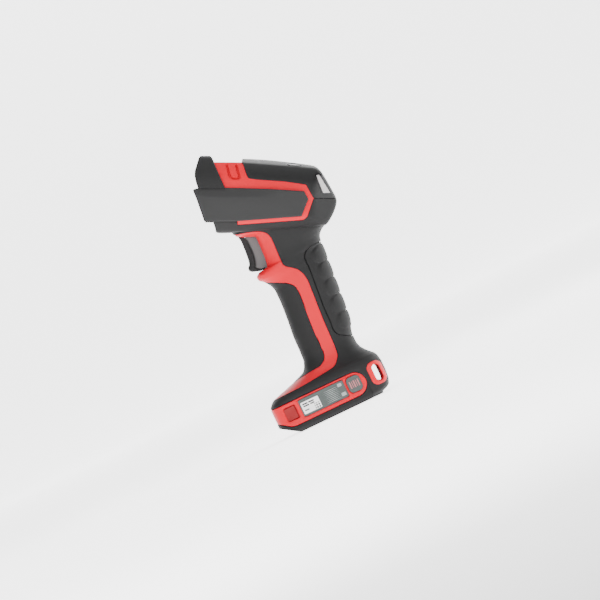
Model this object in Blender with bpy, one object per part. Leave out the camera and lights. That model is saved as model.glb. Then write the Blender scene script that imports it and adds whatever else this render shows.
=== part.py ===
"""A rugged, cordless, pistol-grip barcode scanner, modelled as the parts it comes apart into.

It stands on its battery foot: +Z is up, the nose points to -X, and Y=0 is its mirror plane. The origin
is the middle of the foot's resting face. Helper functions take millimetres and make meshes in metres.
The barrel leans back, so its parts are drawn level and hang from an empty that is turned by BARREL_TILT.
"""
import bpy
import bmesh
from math import cos, sin, pi, radians, copysign, hypot
from mathutils import Vector

MM = 0.001
CLEARANCE = 0.3            # between parts that touch or slide, mm

# The barrel
BARREL_TILT = 25.5         # degrees, nose up
BARREL_ORIGIN = (7.44, 0.0, 83.35)
BARREL_HALF_WIDTH = 34.2
HEAD_SKIN = 2.3            # thickness of the soft and hard covers over the barrel housing
HEAD_WALL = 2.0            # thickness of the barrel housing itself

# The grip
RING_POINTS = 28
GRIP_SKIN = 3.0
GRIP_WALL = 2.3
PAD_PROUD = 0.5            # the ribbed pad stands out from the grip by this much
PAD_DEPTH = 1.4
RIB_PITCH = 12.3
RIB_COUNT = 5
LOWEST_RIB_Z = 57.5
SCREW_PLACES = ((21.0, 54.0), (26.0, 84.0), (28.0, 112.0))

# The foot and its battery pack
FOOT_MIDDLE_X = -2.0
FOOT_HALF_LENGTH = 42.4
FOOT_HALF_WIDTH = 29.0
FOOT_POWER = 4.5           # how square the foot's outline is
FOOT_TOP = 22.5
PACK_TOP = 22.2
PACK_REAR = 25.2
PACK_WALL = 2.6
CELL_RADIUS = 9.1
CELL_LENGTH = 50.0

# The trigger
TRIGGER_PIVOT = (-8.5, 140.3)
TRIGGER_HALF_WIDTH = 8.0
TRIGGER_WELL_HALF_WIDTH = 8.4

# Outlines in the side view, as (x, z) in the upright frame
STRIPE_REAR_EDGE = [(-38, 27.9), (-20, 28.5), (0, 30.2), (8.7, 31.4), (11.9, 33.9), (14.6, 38), (15.5, 45),
                    (16, 60), (17.7, 85), (18.2, 93), (17.5, 98.2), (15.4, 102.9), (12.1, 106),
                    (8.6, 108.6), (7, 111.5), (7.5, 130), (6.4, 134.6), (4.3, 137.4), (3.4, 150)]
STRIPE_FRONT_EDGE = [(-30, 150), (-30, 105.3), (-10, 105.3), (-5, 102.5), (0, 100), (5, 97.1), (8.2, 93.6),
                     (9, 90), (6.8, 60), (6.6, 45), (5.5, 40), (0, 35.7), (-9, 34.9), (-25, 32.5),
                     (-27, 36), (-50, 36), (-50, 27.9)]
STRIPE = STRIPE_REAR_EDGE + STRIPE_FRONT_EDGE
FRONT_GRIP_ZONE = [(-26, 31), (0, 33), (9, 35.5), (11, 45), (12, 75), (13, 93), (9, 101), (-3, 107),
                   (-12, 109), (-26, 109)]
PAD_ZONE = [(45, 116), (30.4, 113.9), (26, 112.2), (23.2, 108), (22.9, 100), (22, 90), (20.3, 70),
            (19.6, 55), (20.9, 50.7), (23.7, 48.6), (30.1, 45), (45, 44)]
LANYARD_EYE = (34.6, 15.0)

# Outlines of the barrel in its own level frame, as (x, z)
HEAD_SIDE = [(-60.9, 54), (-58.5, 47), (-46, 46.8), (-35, 47.3), (-20, 49.5), (0, 51.5), (8, 53),
             (18.7, 53), (22, 57.5), (24.5, 62), (25.9, 71.1), (19.8, 81.4), (15.2, 89.6), (10.9, 93.4),
             (-10, 96.4), (-30, 98.2), (-68.5, 97.4)]
BELLY_LINE = [(8, 52.6), (0, 51.1), (-20, 49.1), (-35, 46.9), (-46, 46.4), (-80, 46.4)]
RED_FRAME = [(-90, 55.3), (-44.5, 55.3), (-44.5, 52.5), (2, 56), (4.5, 57.9), (9.2, 70.8), (4.1, 80.1),
             (-10, 82.2), (-30, 83.7), (-35.5, 84.5), (-37.3, 86.8), (-40, 95.5), (-40.3, 110), (-90, 110)]
HOOD_SIDE = [(-69.5, 100), (-71, 96), (-73, 90), (-73, 87), (-71.4, 81.4), (-70.5, 79), (-53.9, 78.9),
             (-60, 95), (-61.3, 98.2), (-64, 100.5)]
BUMPER_SIDE = [(-74.5, 76.2), (-72, 70.6), (-66.6, 55.2), (-45, 55.4), (0.9, 58.9), (5.9, 70.5),
               (2.7, 76.3), (-20, 77.7), (-53, 78.6), (-70.5, 78.1)]
WINDOW_SIDE = [(11, 87.5), (15.3, 75.3), (21, 75.5), (13.5, 87.8)]
EXIT_PLANE = ((-60.9, 54.0), (-68.5, 97.4))


# ---- Small drawing tools -------------------------------------------------------------------------

def clear_scene():
    for old in list(bpy.data.objects):
        bpy.data.objects.remove(old)


def material(name, color, roughness, metallic=0.0):
    made = bpy.data.materials.new(name)
    made.use_nodes = True
    shader = made.node_tree.nodes["Principled BSDF"]
    shader.inputs["Base Color"].default_value = (*color, 1.0)
    shader.inputs["Roughness"].default_value = roughness
    shader.inputs["Metallic"].default_value = metallic
    return made


def solid(name, mesh_tool, parent=None):
    """Close a bmesh drawn in millimetres into an object in metres, faces outward."""
    bmesh.ops.recalc_face_normals(mesh_tool, faces=mesh_tool.faces)
    bmesh.ops.scale(mesh_tool, vec=(MM, MM, MM), verts=mesh_tool.verts)
    mesh = bpy.data.meshes.new(name)
    mesh_tool.to_mesh(mesh)
    mesh_tool.free()
    made = bpy.data.objects.new(name, mesh)
    bpy.context.collection.objects.link(made)
    made.parent = parent
    return made


def loft(name, rings, parent=None):
    """Skin a list of closed rings that all have the same number of points, and cap both ends."""
    mesh_tool = bmesh.new()
    loops = [[mesh_tool.verts.new(point) for point in ring] for ring in rings]
    count = len(rings[0])
    for lower, upper in zip(loops, loops[1:]):
        for i in range(count):
            j = (i + 1) % count
            mesh_tool.faces.new((lower[i], lower[j], upper[j], upper[i]))
    mesh_tool.faces.new(reversed(loops[0]))
    mesh_tool.faces.new(loops[-1])
    return solid(name, mesh_tool, parent)


def prism(name, outline, low, high, along="Y", parent=None):
    """Extrude a flat outline from low to high along one axis of its frame."""
    place = {"X": lambda u, v, w: (w, u, v), "Y": lambda u, v, w: (u, w, v), "Z": lambda u, v, w: (u, v, w)}
    rings = [[place[along](u, v, w) for u, v in outline] for w in (low, high)]
    return loft(name, rings, parent)


def box(name, low, high, parent=None):
    outline = [(low[0], low[1]), (high[0], low[1]), (high[0], high[1]), (low[0], high[1])]
    return prism(name, outline, low[2], high[2], "Z", parent)


def rod(name, start, end, radius, parent=None, sides=20, end_radius=None):
    """A round bar between two points."""
    start, end = Vector(start), Vector(end)
    axis = (end - start).normalized()
    across = axis.orthogonal().normalized()
    other = axis.cross(across)
    rings = []
    for centre, size in ((start, radius), (end, end_radius or radius)):
        turns = [2 * pi * i / sides for i in range(sides)]
        rings.append([centre + size * (cos(t) * across + sin(t) * other) for t in turns])
    return loft(name, rings, parent)


def rounded_box(centre, half_width, half_height, radius, steps=4):
    """Outline of a rectangle with round corners."""
    points = []
    corners = ((1, 1, 0), (-1, 1, 90), (-1, -1, 180), (1, -1, 270))
    for side_u, side_v, first in corners:
        middle_u = centre[0] + side_u * (half_width - radius)
        middle_v = centre[1] + side_v * (half_height - radius)
        for i in range(steps + 1):
            turn = radians(first + 90 * i / steps)
            points.append((middle_u + radius * cos(turn), middle_v + radius * sin(turn)))
    return points


def offset(outline, distance):
    """Move every edge of an outline outward by the same distance, with mitred corners."""
    count = len(outline)
    area = sum(outline[i - 1][0] * outline[i][1] - outline[i][0] * outline[i - 1][1] for i in range(count))
    side = copysign(1.0, area)
    moved = []
    for i in range(count):
        before, here, after = outline[i - 1], outline[i], outline[(i + 1) % count]
        first = Vector((here[0] - before[0], here[1] - before[1])).normalized()
        second = Vector((after[0] - here[0], after[1] - here[1])).normalized()
        normal = Vector((first.y + second.y, -first.x - second.x)).normalized() * side
        stretch = distance / max(0.35, normal.dot(Vector((first.y, -first.x)) * side))
        moved.append((here[0] + normal.x * stretch, here[1] + normal.y * stretch))
    return moved


def combine(target, tools, operation):
    """Run a Boolean at once, and remove the tools that made it."""
    for tool in tools:
        bpy.context.view_layer.update()
        step = target.modifiers.new(operation, "BOOLEAN")
        step.operation = operation
        step.object = tool
        graph = bpy.context.evaluated_depsgraph_get()
        mesh = bpy.data.meshes.new_from_object(target.evaluated_get(graph))
        target.modifiers.clear()
        target.data = mesh
        bpy.data.objects.remove(tool)
    return target


def carve(target, *tools):
    return combine(target, tools, "DIFFERENCE")


def trim(target, *tools):
    return combine(target, tools, "INTERSECT")


def fuse(target, *tools):
    return combine(target, tools, "UNION")


def finish(made, name, surface, sharp=35):
    """Name a finished part, give it its material, and shade its round faces smooth."""
    made.name = name
    made.data.name = name
    made.data.materials.clear()
    made.data.materials.append(surface)
    made.data.shade_smooth()
    made.data.set_sharp_from_angle(angle=radians(sharp))
    return made


def half_space(side, reach=120.0):
    """The whole left (-1) or right (+1) side of the mirror plane, less half a clearance."""
    edge = CLEARANCE / 2
    low, high = (edge, reach) if side > 0 else (-reach, -edge)
    return box("half", (-reach, low, -10), (reach, high, 2 * reach))


# ---- Shapes shared by several parts --------------------------------------------------------------

def oval_ring(z, front, rear, half_width, power, inset):
    """A superellipse in plan: square-shouldered at the foot, rounder up the grip."""
    middle, half_length = (front + rear) / 2, (rear - front) / 2 - inset
    ring = []
    for i in range(RING_POINTS):
        turn = 2 * pi * (i + 0.5) / RING_POINTS
        x = middle + half_length * copysign(abs(cos(turn)) ** (2 / power), cos(turn))
        y = (half_width - inset) * copysign(abs(sin(turn)) ** (2 / power), sin(turn))
        ring.append((x, y, z))
    return ring


def grip_form(inset, floor=FOOT_TOP):
    """The grip from the foot's toe to the barrel: (z, front, rear, half width, squareness)."""
    stations = ((FOOT_TOP, -44.4, 40.4, 29.0, 4.5), (24.0, -43.6, 40.2, 28.9, 4.5),
                (27.5, -40.0, 38.9, 27.5, 4.2), (29.2, -35.0, 37.4, 25.6, 3.8),
                (31.0, -28.5, 35.6, 23.4, 3.5), (33.5, -20.5, 33.4, 21.2, 3.2),
                (37.1, -12.2, 31.2, 19.2, 3.0), (41.0, -9.8, 30.4, 18.0, 2.8),
                (45.0, -8.6, 30.4, 17.4, 2.7), (52.0, -8.2, 31.9, 17.1, 2.6),
                (60.0, -8.0, 33.6, 17.1, 2.6), (75.0, -6.5, 34.9, 17.3, 2.6),
                (90.0, -5.5, 36.2, 17.6, 2.6), (96.0, -5.5, 36.7, 17.7, 2.6),
                (100.0, -6.4, 37.0, 17.8, 2.6), (103.2, -8.2, 37.3, 17.8, 2.6),
                (105.5, -10.2, 37.5, 17.9, 2.6), (108.0, -12.9, 37.7, 17.9, 2.6),
                (110.2, -13.3, 37.9, 18.0, 2.6), (112.8, -10.6, 38.2, 18.0, 2.6),
                (114.3, -4.6, 38.5, 18.1, 2.7), (118.0, -3.4, 39.4, 18.3, 2.8),
                (121.5, -2.9, 42.5, 18.8, 2.9), (125.0, -2.6, 48.5, 19.6, 3.0),
                (130.0, -2.3, 51.0, 20.8, 3.0), (136.2, -2.0, 52.5, 22.0, 3.2),
                (138.5, -6.5, 53.0, 22.4, 3.2), (141.0, -12.0, 53.5, 22.8, 3.2),
                (143.0, -14.5, 54.0, 23.2, 3.2), (150.0, -16.0, 54.0, 24.0, 3.2))
    kept = [station for station in stations if station[0] > floor]
    first = next(station for station in reversed(stations) if station[0] <= floor)
    rings = [oval_ring(floor if inset == 0 or floor > FOOT_TOP else floor - 0.25, *first[1:], inset)]
    rings += [oval_ring(*station, inset) for station in kept]
    rings.append(oval_ring(kept[-1][0] + 1 + inset, *kept[-1][1:], inset))
    return loft("grip_form", rings)


def foot_form(inset, floor, roof):
    """The foot's block: the same plan as the grip's lowest ring, with a chamfered bottom edge."""
    front, rear = FOOT_MIDDLE_X - FOOT_HALF_LENGTH, FOOT_MIDDLE_X + FOOT_HALF_LENGTH
    levels = ((floor, 2.6), (floor + 2.8, 0.0), (roof, 0.0))
    rings = [oval_ring(z, front, rear, FOOT_HALF_WIDTH, FOOT_POWER, inset + extra) for z, extra in levels]
    return loft("foot_form", rings)


def pack_side(inset, floor, roof):
    """Side view of the pack: flat base, long chamfer under the toe, square back."""
    outline = [(-31 + inset, floor), (PACK_REAR - inset, floor), (PACK_REAR - inset, roof),
               (-50, roof), (-50, 12 + inset), (-31 + inset, floor)]
    return prism("pack_side", outline[:-1], -40, 40)


def pack_form(inset, floor, roof):
    return trim(foot_form(inset, floor, roof), pack_side(inset, floor - 0.01, roof + 1))


def head_section(x, inset):
    """Front view of the barrel at x: its upper edges sink towards the back."""
    fall = (x + 80) / 112
    shoulder = 89 - 11.5 * fall
    edge = 98 - 8.4 * fall
    half = [(20, 44), (30, 53), (BARREL_HALF_WIDTH, 57), (BARREL_HALF_WIDTH, 77),
            (32.4, shoulder), (27, edge), (15, edge + 3.2)]
    outline = half + [(-y, z) for y, z in reversed(half)]
    return [(x, y, z) for y, z in offset(outline, -inset)]


def head_form(inset):
    """The barrel's outer form, moved in by an inset: side view, front view and plan together."""
    side = prism("head_side", offset(HEAD_SIDE, -inset), -45, 45, "Y", barrel)
    section = loft("head_section", [head_section(-80, inset), head_section(32, inset)], barrel)
    plan = [(-85, -40), (0.75, -40), (27, -17.5), (27, 17.5), (0.75, 40), (-85, 40)]
    top_view = prism("head_plan", offset(plan, -inset), 30, 115, "Z", barrel)
    return trim(side, section, top_view)


def zone(outline, grow=0.0, parent=None):
    """A side-view outline pushed through the whole width."""
    return prism("zone", offset(outline, grow), -60, 60, "Y", parent)


def below_belly(gap=0.0):
    """Everything under the barrel's belly, or a gap lower."""
    line = [(x, z - gap) for x, z in BELLY_LINE]
    return prism("below_belly", line + [(-80, -90), (90, -90), (90, 52.6 - gap)], -60, 60, "Y", barrel)


def exit_slab(name, low_z, high_z, half_width, near, far):
    """A plate parallel to the slanted exit plane; near and far are distances in front of it."""
    (x0, z0), (x1, z1) = EXIT_PLANE
    slope = (x1 - x0) / (z1 - z0)
    run = hypot(1.0, slope)
    outline = [(x0 + slope * (z - z0) - depth * run, z)
               for z, depth in ((low_z, near), (low_z, far), (high_z, far), (high_z, near))]
    return prism(name, outline, -half_width, half_width, "Y", barrel)


# ---- The battery pack ----------------------------------------------------------------------------

def pack_housing_zone():
    """The red band: its lower edge dips behind the toe, and its back end is a half circle."""
    radius = (PACK_TOP - 5.5) / 2
    centre_x, centre_z = PACK_REAR - radius, (PACK_TOP + 5.5) / 2
    arc = [(centre_x + radius * sin(radians(t)), centre_z - radius * cos(radians(t))) for t in range(0, 181, 20)]
    return [(-50, 11.6), (-44.3, 11.6), (-36, 6.3), (-33, 5.5)] + arc + [(-50, PACK_TOP)]


def side_plate(outline, outer, inner, side):
    """A plate that follows the pack's side between two depths."""
    plate = trim(foot_form(outer, 0.0, 24.0), zone(outline), half_space(side))
    return carve(plate, foot_form(inner, -1.0, 25.0))


PANEL = [(-25, 8), (10.2, 8), (10.2, 21), (-25, 21)]
LABEL = [(-23.5, 9.8), (-10, 9.8), (-10, 18.3), (-23.5, 18.3)]
BADGE = rounded_box((16.8, 14.5), 5.6, 6.2, 2.6)
BUTTON = rounded_box((-32.2, 14.5), 4.7, 4.9, 1.2, 3)


def build_pack():
    skirt = trim(pack_form(0.0, 0.0, PACK_TOP), box("low", (-60, -40, -1), (40, 40, 15)))
    carve(skirt, zone(pack_housing_zone(), CLEARANCE), pack_form(PACK_WALL, 1.6, 30))
    finish(skirt, "pack_skirt", black_rubber)

    housing = trim(pack_form(0.0, 0.0, PACK_TOP), zone(pack_housing_zone()))
    carve(housing, pack_form(PACK_WALL, -5, 20.6))
    rail = prism("rail", [(-9, 20.8), (9, 20.8), (9, 23.6), (11, 23.6), (11, 25.0), (-11, 25.0),
                          (-11, 23.6), (-9, 23.6)], -42.6, 14.0, "X")
    fuse(housing, rail)
    for side in (-1, 1):
        carve(housing, side_plate(offset(PANEL, CLEARANCE), -1.0, 1.3, side),
              side_plate(offset(BADGE, CLEARANCE), -1.0, 1.7, side),
              side_plate(offset(BUTTON, CLEARANCE), -1.0, 5.0, side))
    for i in range(3):
        slot_y = (i - 1) * 7.0
        carve(housing, box("slot", (PACK_REAR - 5, slot_y - 0.8, 14.4), (PACK_REAR + 1, slot_y + 0.8, 20.1)))
    finish(housing, "pack_housing", red_shell)

    for side, word in ((-1, "left"), (1, "right")):
        panel = side_plate(PANEL, 0.3, 1.0, side)
        carve(panel, side_plate(offset(LABEL, CLEARANCE), -1.0, 0.65, side))
        finish(panel, "label_panel_" + word, grey_panel)
        finish(side_plate(LABEL, 0.1, 0.35, side), "label_" + word, white_label)
        finish(side_plate(BADGE, 0.2, 1.4, side), "badge_" + word, grey_panel)
        button = side_plate(BUTTON, 0.7, 4.2, side)
        fuse(button, side_plate(offset(BUTTON, 0.8), 3.0, 4.2, side))
        finish(button, "release_button_" + word, red_button)

    for i, word in enumerate(("left", "right")):
        cell_y = (2 * i - 1) * (CELL_RADIUS + 0.3)
        cell_z = 1.9 + CELL_RADIUS
        cell = rod("cell", (-28.5, cell_y, cell_z), (-28.5 + CELL_LENGTH - 2, cell_y, cell_z), CELL_RADIUS)
        fuse(cell, rod("tip", (15, cell_y, cell_z), (-28.5 + CELL_LENGTH - 0.8, cell_y, cell_z), 3.2))
        finish(cell, "battery_cell_" + word, cell_sleeve)
    board = box("board", (-40, -14, 4.6 + 9), (-30.5, 14, 6.2 + 9))
    finish(board, "pack_board", circuit_board)


# ---- The grip, its shells and its soft skins -----------------------------------------------------

def lanyard_outline(grow=0.0):
    """The red eye's side view: round-shouldered in front, open past the heel."""
    return offset([(31, 6), (43, 6), (43, 23.4), (31, 23.4), (28.9, 22.4), (28, 20.4), (28, 9), (28.9, 7)], grow)


def rail_channel():
    """The slot under the toe that the pack's rail slides forward out of."""
    return prism("channel", [(-9.3, 20), (9.3, 20), (9.3, 23.3), (11.3, 23.3), (11.3, 25.3), (-11.3, 25.3),
                             (-11.3, 23.3), (-9.3, 23.3)], -60.0, 14.4, "X")


def build_handle_shell(side, word):
    shell = trim(grip_form(GRIP_SKIN + CLEARANCE), below_belly(0.6))
    stripe = trim(grip_form(0.0), zone(STRIPE), below_belly())
    fuse(shell, stripe)
    carve(shell, grip_form(GRIP_SKIN + CLEARANCE + GRIP_WALL, 28.4))
    for x, z in SCREW_PLACES:
        boss = trim(rod("boss", (x, -25, z), (x, 25, z), 3.4), grip_form(GRIP_SKIN + 1.0))
        fuse(shell, boss)
    trim(shell, half_space(side))
    well = box("well", (-40, -TRIGGER_WELL_HALF_WIDTH, 114.6), (9.0, TRIGGER_WELL_HALF_WIDTH, 160))
    carve(shell, well, rail_channel(), zone(lanyard_outline(CLEARANCE)))
    for x, z in SCREW_PLACES:
        if side > 0:
            carve(shell, rod("hole", (x, -1, z), (x, 8.6, z), 1.6), rod("head", (x, 8.5, z), (x, 30, z), 2.6))
        else:
            carve(shell, rod("hole", (x, 1, z), (x, -8.0, z), 1.6))
    finish(shell, "handle_shell_" + word, red_shell)


def build_grip():
    build_handle_shell(-1, "left")
    build_handle_shell(1, "right")
    for i, (x, z) in enumerate(SCREW_PLACES):
        screw = rod("screw", (x, -7.5, z), (x, 9.0, z), 1.3, sides=12)
        fuse(screw, rod("screw_head", (x, 8.9, z), (x, 10.6, z), 2.3, sides=16))
        carve(screw, rod("drive", (x, 9.7, z), (x, 11.0, z), 1.1, sides=6))
        finish(screw, "handle_screw_%d" % (i + 1), steel)

    front = trim(grip_form(0.0), zone(FRONT_GRIP_ZONE))
    carve(front, zone(STRIPE, CLEARANCE), grip_form(GRIP_SKIN))
    finish(front, "front_grip", black_rubber)

    rear = trim(grip_form(0.0), below_belly())
    heel_rings = [oval_ring(z, FOOT_MIDDLE_X - FOOT_HALF_LENGTH, FOOT_MIDDLE_X + FOOT_HALF_LENGTH,
                            FOOT_HALF_WIDTH, FOOT_POWER, extra)
                  for z, extra in ((0, 2.6), (2.8, 0), (20, 0), (24.4, 1.5))]
    heel_side = [(PACK_REAR + CLEARANCE, -1), (32, -1), (33, 0.5), (38.5, 4), (40.2, 8), (41, 15),
                 (40.8, 26), (PACK_REAR + CLEARANCE, 26)]
    heel = trim(loft("heel", heel_rings), zone(heel_side))
    fuse(rear, heel)
    carve(rear, zone(lanyard_outline(CLEARANCE)), grip_form(GRIP_SKIN),
          zone(STRIPE, CLEARANCE), zone(FRONT_GRIP_ZONE), rail_channel())
    pad_cut = trim(grip_form(-3.0), zone(PAD_ZONE, CLEARANCE))
    carve(pad_cut, grip_form(PAD_DEPTH + CLEARANCE))
    carve(rear, pad_cut)
    for i in range(3):
        slot_y = (i - 1) * 7.0
        carve(rear, box("slot", (20, slot_y - 0.8, 14.4), (28.5, slot_y + 0.8, 20.1)))
    finish(rear, "rear_overmould", black_rubber)

    pad = trim(grip_form(-PAD_PROUD), zone(PAD_ZONE))
    carve(pad, grip_form(PAD_DEPTH))
    for i in range(RIB_COUNT - 1):
        groove_z = LOWEST_RIB_Z + (i + 0.5) * RIB_PITCH
        groove_x = 36.2 + 0.085 * (groove_z - 60)
        carve(pad, rod("groove", (groove_x, -20, groove_z), (groove_x, 20, groove_z), 2.0, sides=12))
    finish(pad, "grip_pad", black_rubber)

    eye = trim(loft("eye", heel_eye_rings()), zone(lanyard_outline()))
    carve(eye, zone(rounded_box(LANYARD_EYE, 2.6, 6.0, 2.5)))
    finish(eye, "lanyard_eye", red_shell)

    motor = rod("motor", (4.5, 0, 54), (4.5, 0, 68), 3.9)
    fuse(motor, rod("weight", (4.5, 0, 67.9), (4.5, 0, 73), 3.0))
    finish(motor, "vibration_motor", steel)

    for i in range(3):
        slot_y = (i - 1) * 7.0
        blade = box("blade", (PACK_REAR - 4.5, slot_y - 0.4, 14.8), (27.4, slot_y + 0.4, 19.7))
        finish(blade, "contact_blade_%d" % (i + 1), brass)


def heel_eye_rings():
    front, rear = FOOT_MIDDLE_X - FOOT_HALF_LENGTH, FOOT_MIDDLE_X + FOOT_HALF_LENGTH
    return [oval_ring(z, front, rear, FOOT_HALF_WIDTH, FOOT_POWER, 0.0) for z in (0, 26)]


# ---- The trigger ---------------------------------------------------------------------------------

def build_trigger():
    pivot_x, pivot_z = TRIGGER_PIVOT
    lever_outline = [(-9.9, 142.0), (-8.5, 142.6), (-6.6, 142.2), (-4.0, 138.8), (1.6, 137), (2.4, 128),
                     (2.0, 118), (0, 115.2), (-5, 115.2), (-11.9, 117.6), (-11, 119.4), (-9.6, 123),
                     (-8.8, 130), (-9.0, 135), (-10.6, 139.4)]
    lever = prism("lever", lever_outline, -TRIGGER_HALF_WIDTH, TRIGGER_HALF_WIDTH)
    hollow = [(-6.3, 150), (-6.3, 117.2), (20, 117.2), (20, 150)]
    carve(lever, prism("hollow", hollow, -5.2, 5.2), prism("ears", [(-12, 136), (-6, 136), (-6, 150), (-12, 150)],
                                                        -5.2, 5.2))
    carve(lever, rod("hole", (pivot_x, -9, pivot_z), (pivot_x, 9, pivot_z), 1.5))
    finish(lever, "trigger_lever", grey_plastic)

    pad_outline = [(-12.9, 141.9), (-12.1, 138), (-12.3, 133), (-13, 125), (-13.9, 121), (-15.9, 118.6),
                   (-15.2, 116.8), (-12.5, 115.8), (-12.3, 117.3), (-11.4, 119.6), (-10.0, 123.1),
                   (-9.2, 130), (-9.4, 134.9), (-11.0, 139.4), (-11.3, 142.2)]
    finish(prism("pad", pad_outline, -TRIGGER_HALF_WIDTH, TRIGGER_HALF_WIDTH), "trigger_pad", black_rubber)

    pin = rod("pin", (pivot_x, -7.9, pivot_z), (pivot_x, 7.9, pivot_z), 1.1, sides=16)
    finish(pin, "trigger_pin", steel)

    bracket_outline = [(-10.2, 141.4), (-10.4, 139.4), (-8.6, 138.2), (-3, 134.4), (3.8, 131.5), (4.6, 118),
                       (7.5, 118), (7.5, 134), (3, 137.8), (-6.6, 141.9)]
    bracket = prism("bracket", bracket_outline, -3.0, 3.0)
    fuse(bracket, box("cross_bar", (4.7, -7.8, 118.2), (7.3, 7.8, 121.5)))
    carve(bracket, rod("hole", (pivot_x, -9, pivot_z), (pivot_x, 9, pivot_z), 1.4))
    finish(bracket, "trigger_bracket", black_plastic)

    switch = box("switch", (-1.4, -2.9, 121.5), (3.4, 2.9, 130.8))
    fuse(switch, rod("plunger", (-1.3, 0, 124), (-2.9, 0, 124), 1.1, sides=12))
    finish(switch, "trigger_switch", black_plastic)

    build_trigger_spring(pivot_x, pivot_z)


def build_trigger_spring(pivot_x, pivot_z):
    """A torsion spring round the pin: two turns of wire with a leg on the lever."""
    turns, steps, coil, wire = 2, 12, 1.9, 0.26
    path = []
    for i in range(turns * steps + 1):
        turn = 2 * pi * i / steps
        side_y = 3.62 + 1.24 * i / (turns * steps)
        path.append(Vector((pivot_x + coil * cos(turn), side_y, pivot_z + coil * sin(turn))))
    path.append(path[-1] + Vector((-0.3, 0.05, -3.0)))
    rings = []
    for i, point in enumerate(path):
        ahead = path[min(i + 1, len(path) - 1)] - path[max(i - 1, 0)]
        across = Vector((0, 1, 0))
        out = ahead.cross(across).normalized()
        ring = [point + wire * (cos(2 * pi * k / 6) * across + sin(2 * pi * k / 6) * out) for k in range(6)]
        rings.append(ring)
    finish(loft("spring", rings), "trigger_spring", steel)


# ---- The barrel ----------------------------------------------------------------------------------

def build_head_covers():
    hood_front = [(36.3, 70), (36.3, 80), (34.6, 88), (29.5, 96.5), (23.5, 100.6)]
    hood_section = hood_front + [(-y, z) for y, z in reversed(hood_front)]
    mouth_half = [(31.5, 60), (31.5, 80), (30.2, 88), (25.8, 94.6), (21.5, 97.0)]
    mouth = mouth_half + [(-y, z) for y, z in reversed(mouth_half)]
    hood = trim(prism("hood", HOOD_SIDE, -40, 40, "Y", barrel),
                prism("hood_section", hood_section, -80, -40, "X", barrel))
    carve(hood, head_form(-CLEARANCE), prism("mouth", mouth, -80, -60, "X", barrel))
    finish(hood, "nose_hood", black_rubber)

    for side, word in ((-1, "left"), (1, "right")):
        bumper = prism("bumper", BUMPER_SIDE, side * 33.1, side * 40, "Y", barrel)
        section = [(side * 30, 50), (side * 35.6, 54), (side * 37.5, 71), (side * 36.5, 80), (side * 30, 80)]
        plan = [(-76, side * 30), (-76, side * 37), (-60, side * 37.5), (-10, side * 37.5), (7, side * 35.6),
                (7, side * 30)]
        trim(bumper, prism("bumper_section", section, -90, 20, "X", barrel),
             prism("bumper_plan", plan, 40, 90, "Z", barrel))
        carve(bumper, head_form(-CLEARANCE))
        finish(bumper, "side_bumper_" + word, grey_rubber)

    cover_zone = [(-42, 71.0), (30, 71.0), (30, 110), (-42, 110)]
    cover = trim(head_form(0.0), zone(cover_zone, 0, barrel))
    carve(cover, zone(RED_FRAME, CLEARANCE, barrel), head_form(HEAD_SKIN))
    window_depth = carve(trim(head_form(-2.0), zone(WINDOW_SIDE, CLEARANCE, barrel)), head_form(1.7))
    grille_hole = rod("grille_hole", (-4, 0, 80), (-4, 0, 110), 4.3, barrel)
    carve(cover, window_depth, grille_hole)
    finish(cover, "top_cover", black_plastic)

    for side, word in ((-1, "left"), (1, "right")):
        window = trim(head_form(0.15), zone(WINDOW_SIDE, 0, barrel),
                      box("side", (-60, 0 if side > 0 else -60, 30), (60, 60 if side > 0 else 0, 120), barrel))
        carve(window, head_form(1.38))
        finish(window, "status_window_" + word, window_plastic)

    grille = rod("grille", (-4, 0, 94.0), (-4, 0, 95.7), 4.0, barrel)
    for i in range(-1, 2):
        carve(grille, box("slit", (-7, i * 2.2 - 0.5, 94.6), (-1, i * 2.2 + 0.5, 97), barrel))
    finish(grille, "beeper_grille", black_plastic)

    belly_zone = [(-90, 40), (40, 40), (40, 70.7), (5, 70.7), (0, 56.2), (-90, 54.8)]
    belly = trim(head_form(0.0), zone(belly_zone, 0, barrel))
    carve(belly, zone(RED_FRAME, CLEARANCE, barrel), head_form(HEAD_SKIN),
          box("neck_hole", (-24, -11, 40), (4, 11, 60), barrel))
    finish(belly, "belly_skin", black_rubber)


def build_head_housing():
    housing = fuse(head_form(HEAD_SKIN + CLEARANCE), trim(head_form(0.0), zone(RED_FRAME, 0, barrel)))
    carve(housing, head_form(HEAD_SKIN + CLEARANCE + HEAD_WALL),
          box("patch_top", (-61.5, -60, 95.8), (-39.9, 60, 120), barrel),
          box("neck_hole", (-24, -11, 40), (4, 11, 60), barrel),
          exit_slab("opening", 62.0, 85.0, 23, -12, 6),
          rod("beeper_hole", (-4, 0, 80), (-4, 0, 110), 3.0, barrel))
    for x, y in CHASSIS_SCREWS:
        carve(housing, rod("hole", (x, y, 49.9), (x, y, 60), 1.1, barrel, sides=12))
    finish(housing, "barrel_housing", red_shell)


CHASSIS_SCREWS = [(-49.5, -17.0), (-49.5, 17.0), (-37.0, -17.0), (-37.0, 17.0)]


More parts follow.
